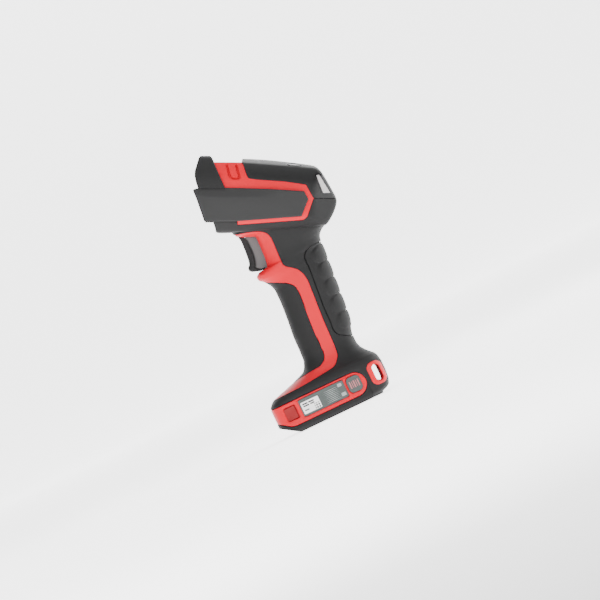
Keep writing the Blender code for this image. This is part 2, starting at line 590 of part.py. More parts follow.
def build_scan_engine():
    gasket = exit_slab("gasket", 58.0, 89.0, 27.5, 0.3, 2.5)
    carve(gasket, exit_slab("gasket_hole", 60.2, 86.9, 24.9, -2, 6))
    finish(gasket, "window_gasket", black_rubber)
    finish(exit_slab("glass", 60.5, 86.6, 24.6, 0.4, 2.2), "exit_window", glass)

    chassis = box("base", (-55, -20, 53.0), (-34.5, 20, 54.8), barrel)
    fuse(chassis, box("front", (-55, -20, 53.1), (-52.8, 20, 84), barrel))
    for y, z, radius in ((0, 72, 6.9), (12, 72, 3.3), (-12, 77, 4.1), (-12, 66.5, 4.1)):
        carve(chassis, rod("bore", (-60, y, z), (-50, y, z), radius, barrel))
    for x, y in CHASSIS_SCREWS:
        carve(chassis, rod("hole", (x, y, 50), (x, y, 60), 1.1, barrel, sides=12))
    finish(chassis, "engine_chassis", black_plastic)

    for i, (x, y) in enumerate(CHASSIS_SCREWS):
        screw = rod("screw", (x, y, 50.3), (x, y, 55.2), 0.8, barrel, sides=12)
        fuse(screw, rod("screw_head", (x, y, 55.1), (x, y, 56.5), 1.9, barrel, sides=16))
        finish(screw, "chassis_screw_%d" % (i + 1), steel)

    lens = rod("lens", (-58.5, 0, 72), (-44, 0, 72), 6.5, barrel, sides=28)
    carve(lens, rod("dish", (-60, 0, 72), (-57, 0, 72), 5.2, barrel, sides=28))
    finish(lens, "imager_lens", glass)
    finish(rod("aimer", (-57, 12, 72), (-44, 12, 72), 2.9, barrel), "aimer_lens", glass)
    for z, word in ((77.0, "upper"), (66.5, "lower")):
        finish(rod("lamp", (-56.5, -12, z), (-44, -12, z), 3.7, barrel), "lamp_" + word, window_plastic)
    finish(box("board", (-43.6, -19, 57), (-42.0, 19, 84), barrel), "imager_board", circuit_board)


def build_electronics():
    finish(box("board", (-33, -22, 62.0), (13, 22, 63.6), barrel), "main_board", circuit_board)
    finish(box("can", (-26, -13, 64.0), (-6, 13, 67.2), barrel), "shield_can", steel)
    finish(box("radio", (-2, -10, 74.0), (12, 10, 75.2), barrel), "radio_board", circuit_board)
    finish(rod("beeper", (-4, 0, 82.5), (-4, 0, 87.3), 6.0, barrel), "beeper", black_plastic)
    finish(box("lamps", (6.6, -17, 77.5), (7.8, 17, 86), barrel), "status_lamp_board", circuit_board)
    build_harness()


def build_harness():
    """The lead from the contact blades to the main board, up the middle of the grip."""
    route = [(22, 0, 30.2), (17.5, 0, 32.5), (14.5, 0, 40), (13.5, 0, 55), (13.5, 0, 75), (15, 0, 95),
             (17, 0, 110), (18.5, 0, 122), (19.5, 0, 132), (21.2, 0, 140.5)]
    curve = bpy.data.curves.new("harness", "CURVE")
    curve.dimensions = "3D"
    curve.bevel_depth = 1.5 * MM
    curve.bevel_resolution = 2
    curve.use_fill_caps = True
    line = curve.splines.new("POLY")
    points = smooth_route(route, 4)
    line.points.add(len(points) - 1)
    for place, point in zip(line.points, points):
        place.co = (*(point * MM), 1.0)
    lead = bpy.data.objects.new("wiring_harness", curve)
    bpy.context.collection.objects.link(lead)
    curve.materials.append(cable)


def smooth_route(route, steps):
    """Points on a Catmull-Rom curve through the route."""
    knots = [Vector(point) for point in route]
    knots = [2 * knots[0] - knots[1]] + knots + [2 * knots[-1] - knots[-2]]
    points = []
    for a, b, c, d in zip(knots, knots[1:], knots[2:], knots[3:]):
        for i in range(steps):
            t = i / steps
            points.append(0.5 * (2 * b + (c - a) * t + (2 * a - 5 * b + 4 * c - d) * t ** 2
                                 + (3 * b - a - 3 * c + d) * t ** 3))
    return points + [knots[-2]]


clear_scene()

red_shell = material("red_shell", (0.80, 0.07, 0.08), 0.38)
red_button = material("red_button", (0.62, 0.04, 0.05), 0.42)
black_rubber = material("black_rubber", (0.035, 0.035, 0.037), 0.7)
black_plastic = material("black_plastic", (0.03, 0.03, 0.032), 0.5)
grey_rubber = material("grey_rubber", (0.075, 0.075, 0.078), 0.65)
grey_plastic = material("grey_plastic", (0.20, 0.195, 0.195), 0.5)
grey_panel = material("grey_panel", (0.18, 0.21, 0.20), 0.5)
white_label = material("white_label", (0.85, 0.85, 0.84), 0.6)
window_plastic = material("window_plastic", (0.62, 0.60, 0.60), 0.3)
glass = material("dark_glass", (0.03, 0.02, 0.03), 0.08)
circuit_board = material("circuit_board", (0.02, 0.16, 0.06), 0.5)
steel = material("steel", (0.6, 0.6, 0.6), 0.3, 1.0)
brass = material("brass", (0.8, 0.6, 0.25), 0.3, 1.0)
cell_sleeve = material("cell_sleeve", (0.05, 0.20, 0.45), 0.4)
cable = material("cable", (0.02, 0.02, 0.02), 0.6)

barrel = bpy.data.objects.new("barrel_frame", None)
bpy.context.collection.objects.link(barrel)
barrel.location = Vector(BARREL_ORIGIN) * MM
barrel.rotation_euler = (0.0, radians(BARREL_TILT), 0.0)

build_pack()
build_grip()
build_trigger()
build_head_covers()
build_head_housing()
build_scan_engine()
build_electronics()
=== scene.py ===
"""The looks of a rugged cordless barcode scanner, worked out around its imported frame.

Lengths in each section are millimetres, and a mesh is scaled to metres as it is made. The barrel's pieces are
drawn in a level frame and then leant back by the same angle as the barrel's bodies.
"""
import bpy
import bmesh
import numpy as np
from mathutils import Matrix, Vector


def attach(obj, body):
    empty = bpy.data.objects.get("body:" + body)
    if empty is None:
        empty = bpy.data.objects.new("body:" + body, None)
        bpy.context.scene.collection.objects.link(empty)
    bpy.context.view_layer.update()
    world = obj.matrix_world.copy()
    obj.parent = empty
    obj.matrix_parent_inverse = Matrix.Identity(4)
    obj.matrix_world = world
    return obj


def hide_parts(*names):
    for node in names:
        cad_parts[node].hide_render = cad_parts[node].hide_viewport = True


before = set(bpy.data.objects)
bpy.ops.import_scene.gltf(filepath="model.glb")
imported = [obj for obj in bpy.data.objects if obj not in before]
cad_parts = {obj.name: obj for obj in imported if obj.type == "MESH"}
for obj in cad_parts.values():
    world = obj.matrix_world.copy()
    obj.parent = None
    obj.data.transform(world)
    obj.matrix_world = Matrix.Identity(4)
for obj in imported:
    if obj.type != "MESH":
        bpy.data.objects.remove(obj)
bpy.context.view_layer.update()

# ---- Floor, light and camera -------------------------------------------------------------------------
# A pale paper sweep that turns up far behind the scanner, three soft boxes, and a long lens that looks
# straight at the scanner's left side with the barrel level, so the grip leans in the picture.

MM = 0.001
LEAN = np.radians(25.5)
BARREL_ORIGIN = np.array([7.44, 0.0, 83.35])


def placed(x, y, z):
    """Points from coordinates that are each a number, a row, a column or a whole grid."""
    return np.stack(np.broadcast_arrays(x, y, z), -1)


def sweep_floor(width, front, back, radius, height, steps):
    """A flat run from front to back, a quarter circle of the given radius, then a straight wall."""
    turn = np.linspace(0, np.pi / 2, steps)
    run = np.concatenate([[front], back + radius * np.sin(turn), [back + radius]])
    rise = np.concatenate([[0.0], radius * (1 - np.cos(turn)), [height]])
    return placed(np.array([[-width], [width]]), run, rise)


def grid_faces(rows, columns, first=0, wrap=False):
    """Corner numbers of the quads of a grid; with wrap, the last column joins the first."""
    last = columns if wrap else columns - 1
    r, c = np.meshgrid(np.arange(rows - 1), np.arange(last), indexing="ij")
    right = (c + 1) % columns
    quads = np.stack([r * columns + c, r * columns + right,
                      (r + 1) * columns + right, (r + 1) * columns + c], -1)
    return quads.reshape(-1, 4) + first


def make_object(name, points, quads, sharp=40):
    """A mesh object from points in millimetres, with its normals outward and its round faces smooth."""
    mesh = bpy.data.meshes.new(name)
    mesh.from_pydata((np.asarray(points).reshape(-1, 3) * MM).tolist(), [], quads.tolist())
    tool = bmesh.new()
    tool.from_mesh(mesh)
    bmesh.ops.remove_doubles(tool, verts=tool.verts, dist=1e-7)
    bmesh.ops.recalc_face_normals(tool, faces=tool.faces)
    tool.to_mesh(mesh)
    tool.free()
    mesh.shade_smooth()
    mesh.set_sharp_from_angle(angle=np.radians(sharp))
    made = bpy.data.objects.new(name, mesh)
    bpy.context.scene.collection.objects.link(made)
    return made


class Wire:
    """A shader socket; arithmetic on it adds Math nodes, so 1 - mask works."""

    def __init__(self, finish, socket):
        self.finish = finish
        self.socket = socket

    def math(self, operation, first, second):
        return self.finish.add("ShaderNodeMath", {"operation": operation}, {0: first, 1: second})

    def __add__(self, other):
        return self.math("ADD", self, other)

    def __radd__(self, other):
        return self.math("ADD", other, self)

    def __sub__(self, other):
        return self.math("SUBTRACT", self, other)

    def __rsub__(self, other):
        return self.math("SUBTRACT", other, self)

    def __mul__(self, other):
        return self.math("MULTIPLY", self, other)

    def __rmul__(self, other):
        return self.math("MULTIPLY", other, self)

class Finish:
    """One material; add() makes any node from its type, its settings and its inputs."""

    def __init__(self, name, roughness=0.5, metallic=0.0):
        self.material = bpy.data.materials.new(name)
        self.material.use_nodes = True
        self.tree = self.material.node_tree
        self.shader = self.tree.nodes["Principled BSDF"]
        self.shader.inputs["Roughness"].default_value = roughness
        self.shader.inputs["Metallic"].default_value = metallic
        self.place = self.add("ShaderNodeTexCoord", {}, {}, "Object")

    def add(self, kind, settings, inputs, output=0):
        node = self.tree.nodes.new(kind)
        for key, value in settings.items():
            setattr(node, key, value)
        for key, value in inputs.items():
            self.feed(node.inputs[key], value)
        return Wire(self, node.outputs[output])

    def feed(self, socket, value):
        if isinstance(value, Wire):
            self.tree.links.new(value.socket, socket)
        elif isinstance(value, tuple) and len(value) == 3 and socket.type == "RGBA":
            socket.default_value = (*value, 1.0)
        else:
            socket.default_value = value

    def noise(self, scale, detail=3.0, roughness=0.5):
        return self.add("ShaderNodeTexNoise", {}, {"Vector": self.place, "Scale": scale, "Detail": detail,
                                                    "Roughness": roughness})

    def ramp(self, value, low, high):
        """Smooth step from 0 at low to 1 at high."""
        return self.add("ShaderNodeMapRange", {"interpolation_type": "SMOOTHSTEP"},
                        {"Value": value, "From Min": low, "From Max": high})

    def mix(self, amount, first, second):
        node = self.tree.nodes.new("ShaderNodeMix")
        node.data_type = "RGBA"
        self.feed(node.inputs[0], amount)
        self.feed(node.inputs[6], first)
        self.feed(node.inputs[7], second)
        return Wire(self, node.outputs[2])

    def bump(self, height, strength, distance):
        made = self.add("ShaderNodeBump", {}, {"Height": height, "Strength": strength, "Distance": distance})
        self.feed(self.shader.inputs["Normal"], made)

    def base(self, color):
        self.feed(self.shader.inputs["Base Color"], color)

    def rough(self, value):
        self.feed(self.shader.inputs["Roughness"], value)


def floor_finish():
    """Matt white paper with hardly any tone, lit up from within where it runs behind the scanner."""
    made = Finish("sweep_paper", 0.9)
    made.base(made.mix(made.noise(3.0), (0.90, 0.90, 0.90), (0.93, 0.93, 0.93)))
    depth = made.add("ShaderNodeSeparateXYZ", {}, {0: made.place}, "Y")
    lit = made.ramp(depth, -4.5, -2.5)
    made.feed(made.shader.inputs["Emission Color"], made.mix(lit, (0.2, 0.2, 0.2), (1.0, 1.0, 1.0)))
    made.shader.inputs["Emission Strength"].default_value = 2.8
    return made.material


floor_points = sweep_floor(7000, -6500, 5400, 900, 7000, 24)
floor = make_object("floor_sweep", floor_points, grid_faces(*floor_points.shape[:2]))
floor.data.materials.append(floor_finish())

camera_data = bpy.data.cameras.new("camera")
camera_data.lens = 420
camera_data.sensor_width = 36
camera_data.clip_end = 20
camera = bpy.data.objects.new("camera", camera_data)
bpy.context.scene.collection.objects.link(camera)
view_right = (np.cos(LEAN), 0.0, -np.sin(LEAN))
view_up = (np.sin(LEAN), 0.0, np.cos(LEAN))
view_back = (0.0, -1.0, 0.0)
view_place = (BARREL_ORIGIN[0] * MM, -4.9, BARREL_ORIGIN[2] * MM)
view_rows = [tuple(row) for row in zip(view_right, view_up, view_back, view_place)]
camera.matrix_world = Matrix(view_rows + [(0, 0, 0, 1)])
bpy.context.scene.camera = camera


def soft_box(name, place, target, size, power):
    """A rectangular lamp in front of white cloth, turned to face its target."""
    light = bpy.data.lights.new(name, "AREA")
    light.shape = "RECTANGLE"
    light.size, light.size_y = size
    light.energy = power
    made = bpy.data.objects.new(name, light)
    bpy.context.scene.collection.objects.link(made)
    made.location = place
    made.rotation_euler = (Vector(target) - Vector(place)).to_track_quat("-Z", "Y").to_euler()


soft_box("overhead", (0.1, -0.25, 1.5), (0, 0, 0.1), (1.2, 1.2), 17)
soft_box("front_fill", (-0.5, -2.4, 1.0), (0, 0, 0.1), (0.9, 0.9), 42)
soft_box("back_rim", (1.0, 0.35, 0.4), (0, 0, 0.12), (0.7, 1.2), 18)

world = bpy.data.worlds.new("studio")
world.use_nodes = True
world.node_tree.nodes["Background"].inputs["Color"].default_value = (1, 1, 1, 1)
world.node_tree.nodes["Background"].inputs["Strength"].default_value = 0.25
bpy.context.scene.world = world

# ---- Handle shells -----------------------------------------------------------------------------------
# Two red glass-filled nylon halves, screwed together on the mirror plane. They show as the stripe, the nose
# under the trigger and the toe of the foot; everywhere else they lie under the rubber.


def moulded(name, color, dark, roughness, grain_size, grain_depth, coat=0.0, shine=0.25):
    """Spark-eroded moulding texture: fine cells for the grain, broad soft patches of colour, rubbed spots."""
    made = Finish(name, roughness)
    cells = made.add("ShaderNodeTexVoronoi", {"feature": "SMOOTH_F1"},
                     {"Vector": made.place, "Scale": 1.0 / (grain_size * MM), "Smoothness": 0.6})
    fine = made.noise(2.2 / (grain_size * MM), 4.0, 0.6)
    broad = made.noise(38.0, 4.0, 0.55)
    rubbed = made.ramp(made.noise(160.0, 5.0, 0.65), 0.56, 0.74)
    made.base(made.mix(broad * 0.55 + fine * 0.25, dark, color))
    made.rough(roughness - 0.10 * rubbed + 0.10 * (fine - 0.5) + 0.06 * (broad - 0.5))
    made.bump(cells * 0.7 + fine * 0.5, 0.35, grain_depth * MM)
    made.shader.inputs["Specular IOR Level"].default_value = shine
    made.shader.inputs["Coat Weight"].default_value = coat
    made.shader.inputs["Coat Roughness"].default_value = 0.28
    return made.material


red_shell = moulded("red_shell_plastic", (0.60, 0.001, 0.015), (0.53, 0.001, 0.011), 0.45, 0.35, 0.02, 0.0, 0.15)

STRIPE_REAR = [(27.0, -43), (27.9, -38), (28.5, -20), (30.2, 0), (31.4, 8.7), (33.9, 11.9), (38, 14.6),
               (45, 15.5), (60, 16), (85, 17.7), (93, 18.2), (98.2, 17.5), (102.9, 15.4), (106, 12.1),
               (108.6, 8.6), (111.5, 7.0), (120, 7.2), (130, 7.5), (134.6, 6.4), (137, 4.3), (139.5, 0),
               (141.3, -5), (143.6, -12.9), (150, -30)]
STRIPE_FRONT = [(32.5, -25), (34.9, -9), (35.7, 0), (40, 5.5), (45, 6.6), (60, 6.8), (90, 9), (93.6, 8.2),
                (97.1, 5), (100, 0), (102.5, -5), (105.3, -10.4)]
GRIP_STATIONS = np.array([
    (22.5, -44.4, 40.4, 29.0, 4.5), (24.0, -43.6, 40.2, 28.9, 4.5), (27.5, -40.0, 38.9, 27.5, 4.2),
    (29.2, -35.0, 37.4, 25.6, 3.8), (31.0, -28.5, 35.6, 23.4, 3.5), (33.5, -20.5, 33.4, 21.2, 3.2),
    (37.1, -12.2, 31.2, 19.2, 3.0), (41.0, -9.8, 30.4, 18.0, 2.8), (45.0, -8.6, 30.4, 17.4, 2.7),
    (52.0, -8.2, 31.9, 17.1, 2.6), (60.0, -8.0, 33.6, 17.1, 2.6), (75.0, -6.5, 34.9, 17.3, 2.6),
    (90.0, -5.5, 36.2, 17.6, 2.6), (96.0, -5.5, 36.7, 17.7, 2.6), (100.0, -6.4, 37.0, 17.8, 2.6),
    (103.2, -8.2, 37.3, 17.8, 2.6), (105.5, -10.2, 37.5, 17.9, 2.6), (108.0, -12.9, 37.7, 17.9, 2.6),
    (110.2, -13.3, 37.9, 18.0, 2.6), (112.8, -10.6, 38.2, 18.0, 2.6), (114.3, -4.6, 38.5, 18.1, 2.7),
    (118.0, -3.4, 39.4, 18.3, 2.8), (121.5, -2.9, 42.5, 18.8, 2.9), (125.0, -2.6, 48.5, 19.6, 3.0),
    (130.0, -2.3, 51.0, 20.8, 3.0), (136.2, -2.0, 52.5, 22.0, 3.2), (138.5, -6.5, 53.0, 22.4, 3.2),
    (141.0, -12.0, 53.5, 22.8, 3.2), (143.0, -14.5, 54.0, 23.2, 3.2), (150.0, -16.0, 54.0, 24.0, 3.2)])
WELL_HALF_WIDTH = 8.4
WELL_FLOOR = 113.3
SHELL_INSIDE = 3.6
RUBBER_UNDER = 1.25
SEAM = 0.12


def follow(knots, values, at):
    """A smooth curve through knots: cubic between them, with slopes that never overshoot."""
    gap = np.diff(knots)
    rate = np.diff(values) / gap
    product = rate[:-1] * rate[1:]
    total = np.where(rate[:-1] + rate[1:] == 0, 1.0, rate[:-1] + rate[1:])
    slope = np.concatenate([[rate[0]], np.where(product > 0, 2 * product / total, 0.0), [rate[-1]]])
    at = np.clip(at, knots[0], knots[-1])
    i = np.clip(np.searchsorted(knots, at) - 1, 0, len(gap) - 1)
    t = (at - knots[i]) / gap[i]
    return ((1 + 2 * t) * (1 - t) ** 2 * values[i] + t * (1 - t) ** 2 * gap[i] * slope[i]
            + t * t * (3 - 2 * t) * values[i + 1] + t * t * (t - 1) * gap[i] * slope[i + 1])


def line_at(points, z):
    """A stripe edge's x at height z."""
    knots = np.array(points, float)
    return follow(knots[:, 0], knots[:, 1], z)


def oval_radius(turn, half_length, half_width, power):
    """Distance from the middle to a superellipse: |cos/a|^n + |sin/b|^n to the power -1/n."""
    along, across = np.abs(np.cos(turn) / half_length), np.abs(np.sin(turn) / half_width)
    return (along ** power + across ** power) ** (-1 / power)


def grip_size(z):
    """Middle, half length, half width and squareness of the grip's oval at height z."""
    front, rear, half_width, power = (follow(GRIP_STATIONS[:, 0], GRIP_STATIONS[:, k], z) for k in (1, 2, 3, 4))
    return (front + rear) / 2, (rear - front) / 2, half_width, power


def grip_points(z, turn, inset):
    """The grip's skin: an oval in plan at each height, moved in by inset; turn 0 is the back."""
    middle, half_length, half_width, power = grip_size(z)
    reach = oval_radius(turn, half_length - inset, half_width - inset, power)
    return placed(middle + reach * np.cos(turn), reach * np.sin(turn), z)


def grip_turn(z, x):
    """The turn at which the grip's oval passes x, on the +Y side."""
    middle, half_length, half_width, power = grip_size(z)
    q = np.clip((x - middle) / half_length, -1, 1)
    return np.arctan2(half_width * (1 - np.abs(q) ** power) ** (1 / power), q * half_length)


def crowded(count, pull=0.8):
    """Fractions from 0 to 1 that crowd together at both ends."""
    s = np.linspace(0, 1, count)
    return s - pull * np.sin(2 * np.pi * s) / (2 * np.pi)


def smooth(value, low, high):
    """Smooth step from 0 at low to 1 at high."""
    t = np.clip((value - low) / (high - low), 0, 1)
    return t * t * (3 - 2 * t)


def rolled(points, radius, sides="0101"):
    """How far each point sinks so that a patch's borders are rolled over: a quarter circle of the radius in
    the distance from the border. sides switches the first row, last row, first column and last column."""
    drop = np.zeros(points.shape[:2])
    for axis in (0, 1):
        step = np.linalg.norm(np.diff(points, axis=axis), axis=-1)
        walked = np.insert(np.cumsum(step, axis=axis), 0, 0.0, axis=axis)
        total = walked[-1:, :] if axis == 0 else walked[:, -1:]
        for on, distance in zip(sides[2 * axis:2 * axis + 2], (walked, total - walked)):
            if on == "1":
                short = np.clip(1 - distance / radius, 0, 1)
                drop = np.maximum(drop, radius * (1 - np.sqrt(1 - short ** 2)))
    return drop


def shell_mesh(outer, inner):
    """Points and quads of a closed shell between an outer and an inner grid of the same size."""
    rows, columns = outer.shape[:2]
    size = rows * columns
    index = np.arange(size).reshape(rows, columns)
    border = np.concatenate([index[0, :], index[1:, -1], index[-1, -2::-1], index[-2:0:-1, 0]])
    after = np.roll(border, -1)
    walls = np.stack([border, after, after + size, border + size], -1)
    faces = np.concatenate([grid_faces(rows, columns), grid_faces(rows, columns, size)[:, ::-1], walls])
    return np.concatenate([outer.reshape(-1, 3), inner.reshape(-1, 3)]), faces


def add_piece(name, meshes, body, finish, stands_for=(), sharp=40):
    """Join closed meshes into one piece, give it its finish, and ride it on its body."""
    sizes = [len(points) for points, _ in meshes]
    firsts = np.insert(np.cumsum(sizes), 0, 0)
    points = np.concatenate([points for points, _ in meshes])
    faces = np.concatenate([quads + first for (_, quads), first in zip(meshes, firsts)])
    piece = make_object(name, points, faces, sharp)
    piece.data.materials.append(finish)
    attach(piece, body)
    if stands_for:
        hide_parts(*stands_for)
    return piece


def crowded_heights(low, high, edges, count, extra):
    """Heights for a grip patch: evenly spaced, with more where a stripe edge runs nearly level."""
    even = np.linspace(low, high, count)
    walk = np.linspace(0, 1, extra)
    more = []
    for edge in edges:
        knots = np.array(edge, float)
        length = np.insert(np.cumsum(np.hypot(*np.diff(knots, axis=0).T)), 0, 0.0)
        more.append(np.interp(walk * length[-1], length, knots[:, 0]))
    heights = np.unique(np.round(np.concatenate([even] + more), 2))
    return heights[(heights >= low) & (heights <= high)]


def handle_half(side):
    """From the parting line at the front, round to 2.5 mm under the rear overmould; it sinks 1.5 mm where
    rubber covers it, and opens for the trigger above the nose."""
    z = crowded_heights(27.3, 147.0, (STRIPE_REAR, STRIPE_FRONT), 240, 110)[:, None]
    rear_x = line_at(STRIPE_REAR, z)
    front_x = np.where((z > 32.4) & (z < 105.2), line_at(STRIPE_FRONT, z), -99)
    middle, half_length, half_width, power = grip_size(z)
    well = half_length * (1 - (WELL_HALF_WIDTH / half_width) ** power) ** (1 / power)
    well_turn = np.arctan2(WELL_HALF_WIDTH, -well)
    shut_turn = np.pi - 0.05 / half_length
    start = shut_turn + (well_turn - shut_turn) * smooth(z, WELL_FLOOR - 0.7, WELL_FLOOR + 0.1)
    end = np.minimum(grip_turn(z, rear_x + 2.5), start - 0.02)
    s = crowded(84, 0.7)[None, :]
    turn = start + (end - start) * s
    flat = grip_points(z, turn, 0.0)
    covered = np.maximum(smooth(flat[..., 0] - rear_x, -0.05, 0.5), smooth(front_x - flat[..., 0], -0.05, 0.5))
    outer = grip_points(z, turn, SEAM + 1.5 * covered + rolled(flat, 0.35, "0010"))
    inner = grip_points(z, turn, SHELL_INSIDE)
    flip = np.array([1, side, 1])
    return shell_mesh(outer * flip, inner * flip)


for side, word in ((-1, "left"), (1, "right")):
    add_piece("grip_half_" + word, [handle_half(side)], "scanner", red_shell,
              ["handle_shell_" + word])

# ---- Front grip and rear overmould -------------------------------------------------------------------
# Black soft rubber moulded over the shells. The front grip is a tongue between the stripes; the rear
# overmould runs from the foot's rim up the back of the grip to the barrel. Both edges are rolled.

black_rubber = moulded("black_rubber", (0.018, 0.018, 0.0182), (0.012, 0.012, 0.0122),
                       0.6, 0.30, 0.05, 0.0, 0.12)


def front_grip_mesh():
    """Round the front from stripe to stripe, with all four borders rolled."""
    z = crowded_heights(32.6, 105.1, (STRIPE_FRONT,), 150, 150)[:, None]
    edge = np.minimum(grip_turn(z, line_at(STRIPE_FRONT, z) - SEAM), np.pi - 0.004)
    turn = edge + (2 * np.pi - 2 * edge) * crowded(101, 0.8)[None, :]
    flat = grip_points(z, turn, 0.0)
    outer = grip_points(z, turn, rolled(flat, 0.55, "1111"))
    return shell_mesh(outer, grip_points(z, turn, RUBBER_UNDER))


add_piece("front_grip_rubber", [front_grip_mesh()], "scanner", black_rubber, ["front_grip"])

PAD_EDGE = [(44.6, 31.5), (45.4, 29.0), (48.6, 23.7), (50.7, 20.9), (55, 19.6), (60, 20), (70, 20.3),
            (90, 22), (100, 22.9), (108, 23.2), (112.2, 26), (113.9, 30.4), (114.4, 33)]


def pad_mask(x, z, grow):
    """1 inside the pad's side view, 0 outside, with a soft edge 0.4 mm wide."""
    inside = (x - line_at(PAD_EDGE, z)) + grow
    return smooth(inside, -0.2, 0.2) * smooth(z, 44.9, 45.1) * smooth(-z, -114.3, -114.1)


def rear_overmould_mesh():
    """Round the back from stripe to stripe; the pad's bed is sunk 1.9 mm."""
    z = crowded_heights(22.55, 148.0, (STRIPE_REAR, PAD_EDGE), 240, 80)[:, None]
    edge = grip_turn(z, line_at(STRIPE_REAR, z) + SEAM)
    edge = edge + (np.pi - 0.0004 - edge) * smooth(-z, -28.1, -27.7)
    turn = -edge + 2 * edge * crowded(111, 0.65)[None, :]
    flat = grip_points(z, turn, 0.0)
    roll = rolled(flat, 0.55, "0011") * smooth(z, 27.9, 28.6)
    edge_off = rolled(flat, 0.55, "1000") * smooth(-flat[..., 0], -16.6, -15.4)
    bed = 1.9 * pad_mask(flat[..., 0], z, 0.2)
    outer = grip_points(z, turn, np.where(z < 28.0, edge_off, roll) + bed)
    return shell_mesh(outer, grip_points(z, turn, RUBBER_UNDER + 1.2 * pad_mask(flat[..., 0], z, 0.8)))


add_piece("rear_overmould_rubber", [rear_overmould_mesh()], "scanner", black_rubber,
          ["rear_overmould"])

# ---- Ribbed grip pad ---------------------------------------------------------------------------------
# A separate strip of softer rubber, bonded into its bed on the back of the grip. Five swollen ribs give the
# fingers' heel a hold; each ends in a crescent at the side.

RIB_PITCH = 12.3
LOWEST_RIB = 57.5


def grip_pad_mesh():
    """Each rib is half an ellipse in height, and its front end is half an ellipse in side view."""
    z = crowded_heights(45.2, 114.0, (PAD_EDGE,), 240, 70)[:, None]
    middle, half_length, _, _ = grip_size(z)
    edge = np.maximum(grip_turn(z, np.minimum(line_at(PAD_EDGE, z) + 0.25, middle + half_length - 0.3)), 0.02)
    turn = -edge + 2 * edge * crowded(111, 0.55)[None, :]
    flat = grip_points(z, turn, 0.0)
    count = np.clip(np.round((z - LOWEST_RIB) / RIB_PITCH), 0, 4)
    across = (z - LOWEST_RIB - count * RIB_PITCH) / (0.47 * RIB_PITCH)
    crown = np.sqrt(np.clip(1 - across ** 2, 0, 1))
    reach = flat[..., 0] - line_at(PAD_EDGE, z) - 8.2 + 4.6 * crown
    rib = crown ** 0.7 * smooth(reach, 0.0, 3.5) * smooth(z, 50.5, 53)
    outer = grip_points(z, turn, 0.10 - 0.95 * rib + rolled(flat, 0.5, "1111"))
    return shell_mesh(outer, grip_points(z, turn, 1.75))


add_piece("grip_pad_ribbed", [grip_pad_mesh()], "scanner", black_rubber, ["grip_pad"])

# ---- Barrel housing ----------------------------------------------------------------------------------
# The red nylon body that carries the scan engine. It shows behind the hood and as a thin frame round each
# side bumper; the covers and the belly rubber clip over the rest of it.

BARREL_HALF_WIDTH = 34.2
BARREL_AXIS = 71
MIRROR = (1, -1, 1)
BARREL_SIDE = [(-66.0, 54.0), (-58.5, 46.6), (-46, 46.6), (-35, 47.3), (18.9, 52.6), (22, 57.3), (24.5, 62),
               (26.1, 71.1), (19.9, 81.9), (15.3, 90.0), (10.9, 93.9), (-10, 97.0), (-30, 98.9), (-60, 98.6),
               (-70.5, 96.0)]
BARREL_FACETS = []
for (x0, z0), (x1, z1) in zip(BARREL_SIDE, BARREL_SIDE[1:] + BARREL_SIDE[:1]):
    run = np.hypot(x1 - x0, z1 - z0)
    out = np.array([(z1 - z0) / run, 0.0, -(x1 - x0) / run])
    BARREL_FACETS.append((out, out @ (x0, 0, z0)))
for side in (-1, 1):
    for first, second, third in (((-80, 34.2, 57.0), (-80, 30.0, 53.0), (32, 30.0, 53.0)),
                                 ((-80, 30.0, 53.0), (-80, 20.0, 44.0), (32, 20.0, 44.0)),
                                 ((-80, 34.3, 77.0), (-80, 32.6, 89.0), (32, 32.6, 77.5)),
                                 ((-80, 32.5, 89.0), (-80, 27.2, 98.0), (32, 27.2, 89.6)),
                                 ((-80, 27.0, 98.2), (-80, 14.0, 101.8), (32, 14.0, 93.4)),
                                 ((1.6, 39.9, 0), (27.9, 17.4, 0), (1.6, 39.9, 90))):
        first, second, third = (np.array(p, float) * (1, side, 1) for p in (first, second, third))
        out = np.cross(second - first, third - first)
        out = out / np.linalg.norm(out)
        if out @ (first - (-20, 0, 72)) < 0:
            out = -out
        BARREL_FACETS.append((out, out @ first))
    BARREL_FACETS.append((np.array([0.0, side, 0.0]), BARREL_HALF_WIDTH))
FACET_WAYS = np.array([way for way, _ in BARREL_FACETS])
FACET_DEPTHS = np.array([depth for _, depth in BARREL_FACETS])


def barrel_depth(points, blend=0.9):
    """How far outside the barrel a point lies: the furthest of its flat facets, blended where they meet."""
    apart = points @ FACET_WAYS.T - FACET_DEPTHS
    top = apart.max(axis=-1)
    return top + blend * np.log(np.exp((apart - top[..., None]) / blend).sum(axis=-1)) - 0.35


def furthest(holds, far, shape, halvings=26):
    """The greatest distance below far at which holds(distance) is still true, found by halving."""
    low, high = np.zeros(shape), np.full(shape, far)
    for _ in range(halvings):
        middle = (low + high) / 2
        held = holds(middle)
        low, high = np.where(held, middle, low), np.where(held, high, middle)
    return low


def on_barrel(points, inset):
    """Slide each point along its spoke from the barrel's axis until it lies inset below the skin."""
    hub = placed(np.clip(points[..., 0], -64, -4), 0.0, BARREL_AXIS)
    spoke = points - hub
    spoke = spoke / np.linalg.norm(spoke, axis=-1, keepdims=True)
    reach = furthest(lambda far: barrel_depth(hub + spoke * far[..., None]) < -inset, 80.0, points.shape[:2])
    return hub + spoke * reach[..., None]


def evenly(outline, count):
    """X and Z of points evenly spaced along a side-view outline."""
    outline = np.array(outline, float)
    walk = np.insert(np.cumsum(np.linalg.norm(np.diff(outline, axis=0), axis=1)), 0, 0.0)
    even = np.linspace(0, walk[-1], count)
    return np.interp(even, walk, outline[:, 0]), np.interp(even, walk, outline[:, 1])


def barrel_flank(outline, side, count):
    """Points on the barrel's side that follow a side-view outline, evenly spaced along it."""
    x, z = evenly(outline, count)
    return placed(x, side * furthest(lambda wide: barrel_depth(placed(x, wide, z)) < 0, 60.0, count), z)


